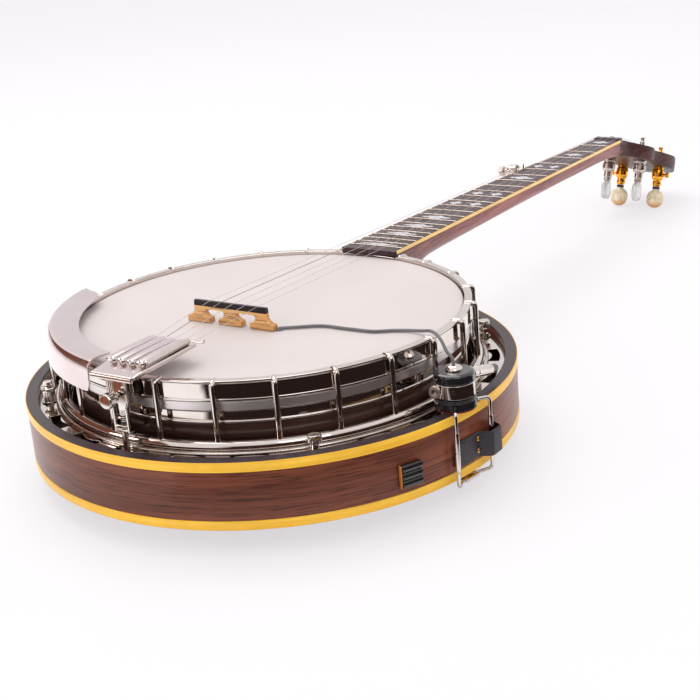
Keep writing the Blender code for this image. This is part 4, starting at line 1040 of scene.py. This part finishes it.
def build_jack():
    place = moved(JACK)
    base = [(JACK_R - 0.6, 51.6), (JACK_R, 52), (JACK_R, 57), (JACK_R - 0.4, 57.2), (JACK_R - 0.4, 57.8),
        (JACK_R, 58), (JACK_R, 58.8), (JACK_R - 1, 59.3)]
    piece("jack_base_cup", Shape().turn(base, place, 96, soft=0.2), "gloss_black", "jack_base")
    seal = [(JACK_R - 0.4, 50.8), (JACK_R - 0.2, 50.9), (JACK_R - 0.2, 51.4), (JACK_R - 0.6, 51.6)]
    piece("jack_base_gasket", Shape().turn(seal, place, 96), "red")
    band = [(12.8, 59.6), (13.4, 60), (13.4, 69), (12.8, 69.4)]
    piece("jack_band_ring", Shape().turn(band, place, 96, soft=0.2), "chrome", "jack_band")
    ear_at = JACK + Vector((-0.543, -0.838, 0)) * 14.1 + Z * 64
    ear = [(3.6, -4), (4.3, -3), (4.3, 1.4), (3.9, 1.9), (2.1, 1.9), (2.1, -0.8)]
    ear_place = frame_at(ear_at, Vector((0.10, -1, 0.05)), Z)
    piece("jack_band_screw", Shape().turn(ear, ear_place, 40, soft=0.2), "dull_chrome")
    outward = Vector((0.42, -0.91, 0))
    # painted shade: a short black stub on the band stands for the shade inside a small hole
    hole_place = frame_at(JACK + outward.normalized() * 13 + Z * 65, outward, Z)
    hole = [(1.3, -0.1), (1.3, 0.8), (1, 0.9)]
    piece("jack_band_hole_shade", Shape().turn(hole, hole_place, 24), "black")

    cap = [(JACK_R - 0.8, 69.7), (JACK_R - 0.4, 70.1), (JACK_R - 0.4, 74.4), (JACK_R - 1, 75.4),
        (JACK_R - 2.6, 76.1), (4.6, 76.1)]
    piece("jack_cap_lid", Shape().turn(cap, place, 96, soft=0.4), "gloss_black", "jack_cap")
    gland = [(5.6, 76.2), (5.6, 77), (5, 77.8), (4.2, 78.7), (3, 79.3), (1.8, 79.5)]
    piece("jack_cap_gland", Shape().turn(gland, place, 48, soft=0.2), "chrome")

    start_at = JACK + Vector((3, 15.8, 68.2))
    axis = Vector((-0.02, 0.96, -0.25))
    tube_place = frame_at(start_at, axis, Z)
    barrel = [(3.6, 0), (4, 0.6), (4, 5), (3.7, 5.4), (3.7, 6.8), (4, 7.2), (4, 28), (3.4, 28.8)]
    piece("jack_socket_barrel", Shape().turn(barrel, tube_place, 64, soft=0.2), "chrome", "jack_socket")
    tip = [(3.1, 29), (3.1, 36.6), (2.6, 37.2)]
    piece("jack_socket_tip", Shape().turn(tip, tube_place, 48, soft=0.2), "black")

    top = JACK + Z * 79.9
    keys = [Vector(key) for key in ((35.8, -34.5, 91.1), (46, -28.5, 91.1), (61, -20.5, 91.1),
        (80.4, -19.7, 91.1), (100.1, -18.5, 91.1), (112, -12.5, 91.1), (124, -8.8, 91.3), (134, -10.5, 92.7),
        (140, -13.2, 94.4), (145.5, -16.5, 95.4), (151, -20.3, 94.9), (156, -23.8, 92.2),
        (160.7, -26.7, 87.2))]
    keys += [top + Vector((-1.2, 0.8, 3.6)), top]
    piece("pickup_lead_wire", Shape().tube(smooth_path(keys), 1.1, 14), "cable", "pickup_lead")
    patch = [(2.6 * c, 2.6 * s) for c, s in circle(32)]
    patch_place = moved((35.6, -34.8, HEAD_TOP + 0.1))
    piece("pickup_lead_foot", Shape().prism(patch, 0, 1.2, patch_place), "cable", bevel=0.4)


def build_clamp():
    over = 53
    for number, side, degrees in ((1, "left", CLAMP_LEFT), (2, "right", CLAMP_RIGHT)):
        foot = polar(CLAMP_R, degrees, 41.3)
        bend = polar(CLAMP_R, degrees, over)
        inward = Vector((JACK.x - bend.x, JACK.y - bend.y, 0))
        reach = inward.length - JACK_R - 1.8
        tip = bend + inward.normalized() * reach
        path = fillet([foot, bend, tip], 5, steps=8)
        hook = Shape().tube(path, 1.3, 16)
        piece("clamp_hook_%s_wire" % side, hook, "chrome", "clamp_hook_" + side)
        place = moved(polar(CLAMP_R, degrees))
        barrel = [(1.3, 13), (1.7, 14.6), (1.8, 20), (1.8, 34), (1.7, 39.4), (1.3, 41)]
        piece("clamp_barrel_%d_turnbuckle" % number, Shape().turn(barrel, place, 32, soft=0.4), "chrome",
            "clamp_barrel_%d" % number, "clamp_barrel_%d_turns" % number)
        # painted shade: a black pin through the barrel stands for the shade in its cross hole
        cross = frame_at(polar(CLAMP_R, degrees, 27), polar(1, degrees + 90), Z)
        peg = Shape().turn([(0.6, -2.1), (0.8, -1.9), (0.8, 1.9), (0.6, 2.1)], cross, 16)
        piece("clamp_barrel_%d_tommy_hole" % number, peg, "black", body="clamp_barrel_%d_turns" % number)

    inset_r, jaw_r, z = 174, 179.2, 2.6
    path = [polar(CLAMP_R, CLAMP_LEFT, 12.6), polar(CLAMP_R, CLAMP_LEFT, z), polar(inset_r, 99.4, z),
        polar(inset_r, 98.6, z), polar(CLAMP_R, CLAMP_RIGHT, z), polar(CLAMP_R, CLAMP_RIGHT, 12.6)]
    wire = Shape().tube(fillet(path, 3, steps=6), 1.2, 14)
    piece("clamp_lower_wire", wire, "chrome", "clamp_lower_bracket")
    jaw = ((169.2, 1.6), (jaw_r, 1.6), (jaw_r, 3.4), (169.2, 3.4))
    piece("clamp_lower_jaw", Shape().sweep(jaw, 97, 101.5, 6), "satin_chrome", bevel=0.4)

    low, high = 14, 31.5
    sheet = 1.8
    steps = 44
    loops = []
    for step in range(steps + 1):
        degrees = 104 - 14 * step / steps
        hump = min(1, 1.9 * max(0, 1 - abs(degrees - CLAMP_RIGHT) / 3.4))
        hump = hump * hump * (3 - 2 * hump)
        radius = RESONATOR_R + 0.3 + (CLAMP_R + 3 - RESONATOR_R) * hump
        loops.append([polar(radius, degrees, low), polar(radius + sheet * 0.6, degrees, low - 0.05),
            polar(radius + sheet, degrees, low + 0.7), polar(radius + sheet, degrees, high - 0.7),
            polar(radius + sheet * 0.6, degrees, high + 0.05), polar(radius, degrees, high)])
    piece("clamp_pad_leather", Shape().skin(loops), "leather", "clamp_pad", bevel=0.4)
    radius = RESONATOR_R + 0.3 + sheet
    fold = ((radius, low + 0.6), (radius + 1, low + 1), (radius + 1, high - 1), (radius, high - 0.6))
    piece("clamp_pad_folded_end", Shape().sweep(fold, 103.9, 101.3, 12), "leather", bevel=0.4)
    screws, slot_shade_bars = Shape(), Shape()
    for z in (low + 4.6, high - 4.4):
        at = polar(RESONATOR_R + 0.3 + sheet - 0.2, 96.8, z)
        place = frame_at(at, polar(1, 96.8), Z)
        screws.turn([(1.9, 0), (1.9, 0.4), (1.5, 0.9), (0.7, 1.1)], place, 32, soft=0.1)
        # painted shade: a thin black bar on each screw head stands for the shade in its slot
        slot_shade_bars.box((-1.4, -0.2, 0.8), (1.4, 0.2, 1.15), place)
    piece("clamp_pad_screws", screws, "brass")
    piece("clamp_pad_screw_slot_shade", slot_shade_bars, "black")

    clip = Shape()
    inner, outer = RESONATOR_R + 0.4, 180.8
    shoulder = outer - 1.2
    for bar in range(3):
        bottom = 15.8 + 5.3 * bar
        profile = [(inner, bottom), (shoulder, bottom), (outer - 0.3, bottom + 1), (outer, bottom + 2.5),
            (outer - 0.3, bottom + 4), (shoulder, bottom + 5), (inner, bottom + 5)]
        clip.sweep(profile, 113.8, 118.5, 10)
    piece("side_clip_ribs", clip, "gloss_black", "side_clip", bevel=0.2)
    edge = ((inner, 16), (shoulder, 16), (shoulder, 31.4), (inner, 31.4))
    piece("side_clip_edge", Shape().sweep(edge, 118.56, 118.86, 3), "horn", bevel=0.3)


# ---------------------------------------------------------------- studio, in metres
SHADE_EDGE = (0.50, -0.866, 0)


def build_floor(scene):
    """Pale paper sweep. Glossy rays see painted reflections on it: dark in one sector and brown near the
    tail.
    """
    floor = bpy.data.meshes.new("studio_floor")
    reach, wall, bend = 6.0, 3.0, 1.5
    sweep = [(-reach, 0), (wall, 0)]
    sweep += [(wall + bend * sin(radians(9 * k)), bend - bend * cos(radians(9 * k))) for k in range(1, 11)]
    sweep.append((wall + bend, 5))
    floor.from_pydata([(x, y, z) for y, z in sweep for x in (-reach, reach)], [],
                      [(2 * k, 2 * k + 1, 2 * k + 3, 2 * k + 2) for k in range(len(sweep) - 1)])
    floor.shade_smooth()
    backdrop = bpy.data.objects.new("studio_floor", floor)
    scene.collection.objects.link(backdrop)

    look = start("studio_paper")
    floor.materials.append(look.finish(look.ramp(look.noise(7, 3), (0.3, 0.86), (0.7, 0.88)), 0.9,
                                       Specular_IOR_Level=0.1))
    at = look.add("TexCoord", output="Object")
    wobble = look.add("MapRange", {0: look.noise(14, 2), 3: -0.03, 4: 0.03})
    # painted reflection: glossy rays see the floor dark in a sector round the pot, though the paper is pale
    dark = look.span(look.vector("LENGTH", at), 0.235, 0.29)
    for edge in (SHADE_EDGE, (0.9945, 0.1045, 0)):
        side = look.calc("ADD", look.vector("DOT_PRODUCT", at, edge), wobble)
        dark = look.calc("MULTIPLY", dark, look.span(side, -0.010, 0.010))
    # painted reflection: a brown patch near the tail that only glossy rays see
    painted_brown_reflection = look.span(look.vector("DISTANCE", at, (-0.20, -0.45, 0)), 0.13, 0.11)
    dark = look.calc("MAXIMUM", dark, painted_brown_reflection)
    tint = look.mix(painted_brown_reflection, (0.018, 0.011, 0.010), (0.20, 0.075, 0.045))
    painted_dark_reflection = look.calc("MULTIPLY", look.add("LightPath", output="Is Glossy Ray"), dark)
    lifted = look.calc("MULTIPLY", look.add("LightPath", output="Is Camera Ray"), 0.70)
    glow = look.add("Emission", {0: (0.985, 0.955, 0.985), 1: 0.95})
    paper = look.add("MixShader", {
        0: lifted, 1: look.tree.nodes["Principled BSDF"].outputs[0], 2: glow})
    seen = look.add("MixShader", {0: painted_dark_reflection, 1: paper, 2: look.add("BsdfDiffuse", {0: tint})})
    look.put(look.tree.nodes["Material Output"].inputs["Surface"], seen)


def build_air(scene):
    """White surroundings, with painted reflections of a dark sector and a brown patch that only glossy rays
    see.
    """
    scene.world = bpy.data.worlds.new("studio_air")
    air = Nodes(scene.world)
    lit = air.tree.nodes["Background"]
    air.put(lit.inputs["Color"], (1, 0.985, 1))
    air.put(lit.inputs["Strength"], 1.05)
    heading = air.add("TexCoord", output="Generated")
    up = air.add("SeparateXYZ", {0: heading}, "Z")
    # painted reflection: glossy rays see the air dark near the horizon in one sector
    dark = air.ramp(up, (0.30, 1), (0.62, 0))
    for edge in (SHADE_EDGE, (0.988, 0.156, 0)):
        side = air.vector("DOT_PRODUCT", heading, edge)
        dark = air.calc("MULTIPLY", dark, air.span(side, -0.08, 0.08))
    seen = air.mix(dark, (1, 0.97, 0.98), (0.045, 0.022, 0.015))
    # painted reflection: a brown patch that only glossy rays see, no card is there
    brown_reflection_patch = air.span(air.vector("DOT_PRODUCT", heading, (-0.94, -0.34, 0)), 0.62, 0.64)
    for stops in (((0.05, 0), (0.06, 1)), ((0.68, 1), (0.69, 0))):
        brown_reflection_patch = air.calc("MULTIPLY", brown_reflection_patch, air.ramp(up, *stops))
    seen = air.mix(brown_reflection_patch, seen, (0.20, 0.075, 0.040))
    both = air.add("MixShader", {0: air.add("LightPath", output="Is Glossy Ray"), 1: lit.outputs[0],
                                 2: air.add("Background", {0: seen, 1: 1})})
    air.put(air.tree.nodes["World Output"].inputs["Surface"], both)


def build_lamps(scene):
    for name, place, size, power, aim in (
            ("key_softbox", (-0.9, 0.5, 2.2), 1.8, 26, (0, 0.1, 0)),
            ("fill_softbox", (1.5, -1.2, 1.8), 1, 5, (0, 0, 0)),
            ("strip_left", (-1.3, -1.2, 0.7), 0.5, 5, (0, 0, 0.05))):
        light = bpy.data.lights.new(name, "AREA")
        light.shape = "SQUARE"
        light.size = size
        light.energy = power
        lamp = bpy.data.objects.new(name, light)
        lamp.location = place
        lamp.rotation_euler = (Vector(aim) - Vector(place)).to_track_quat("-Z", "Y").to_euler()
        scene.collection.objects.link(lamp)


def build_camera(scene):
    camera = bpy.data.cameras.new("camera")
    camera.sensor_width = 36
    camera.lens = 69.596
    camera.clip_start = 0.01
    viewer = bpy.data.objects.new("camera", camera)
    turn, tilt, roll = 0.59449, 0.34422, -0.08352
    back = Vector((sin(turn) * cos(tilt), -cos(turn) * cos(tilt), sin(tilt)))
    level = Vector((cos(turn), sin(turn), 0))
    above = back.cross(level)
    right = level * cos(roll) + above * sin(roll)
    over = above * cos(roll) - level * sin(roll)
    turned = Matrix((right, over, back)).transposed().to_4x4()
    viewer.matrix_world = moved((0.56410, -0.73313, 0.39758)) @ turned
    scene.collection.objects.link(viewer)
    scene.camera = viewer


def build_studio():
    scene = bpy.context.scene
    scene.view_settings.view_transform = "Standard"
    build_floor(scene)
    build_air(scene)
    build_lamps(scene)
    build_camera(scene)


build_studio()
build_resonator()
build_pot()
build_flange()
keep_frame_nodes()
build_neck()
build_fingerboard()
build_tuners()
build_bridge()
build_strings()
build_tailpiece()
build_armrest()
build_jack()
build_clamp()
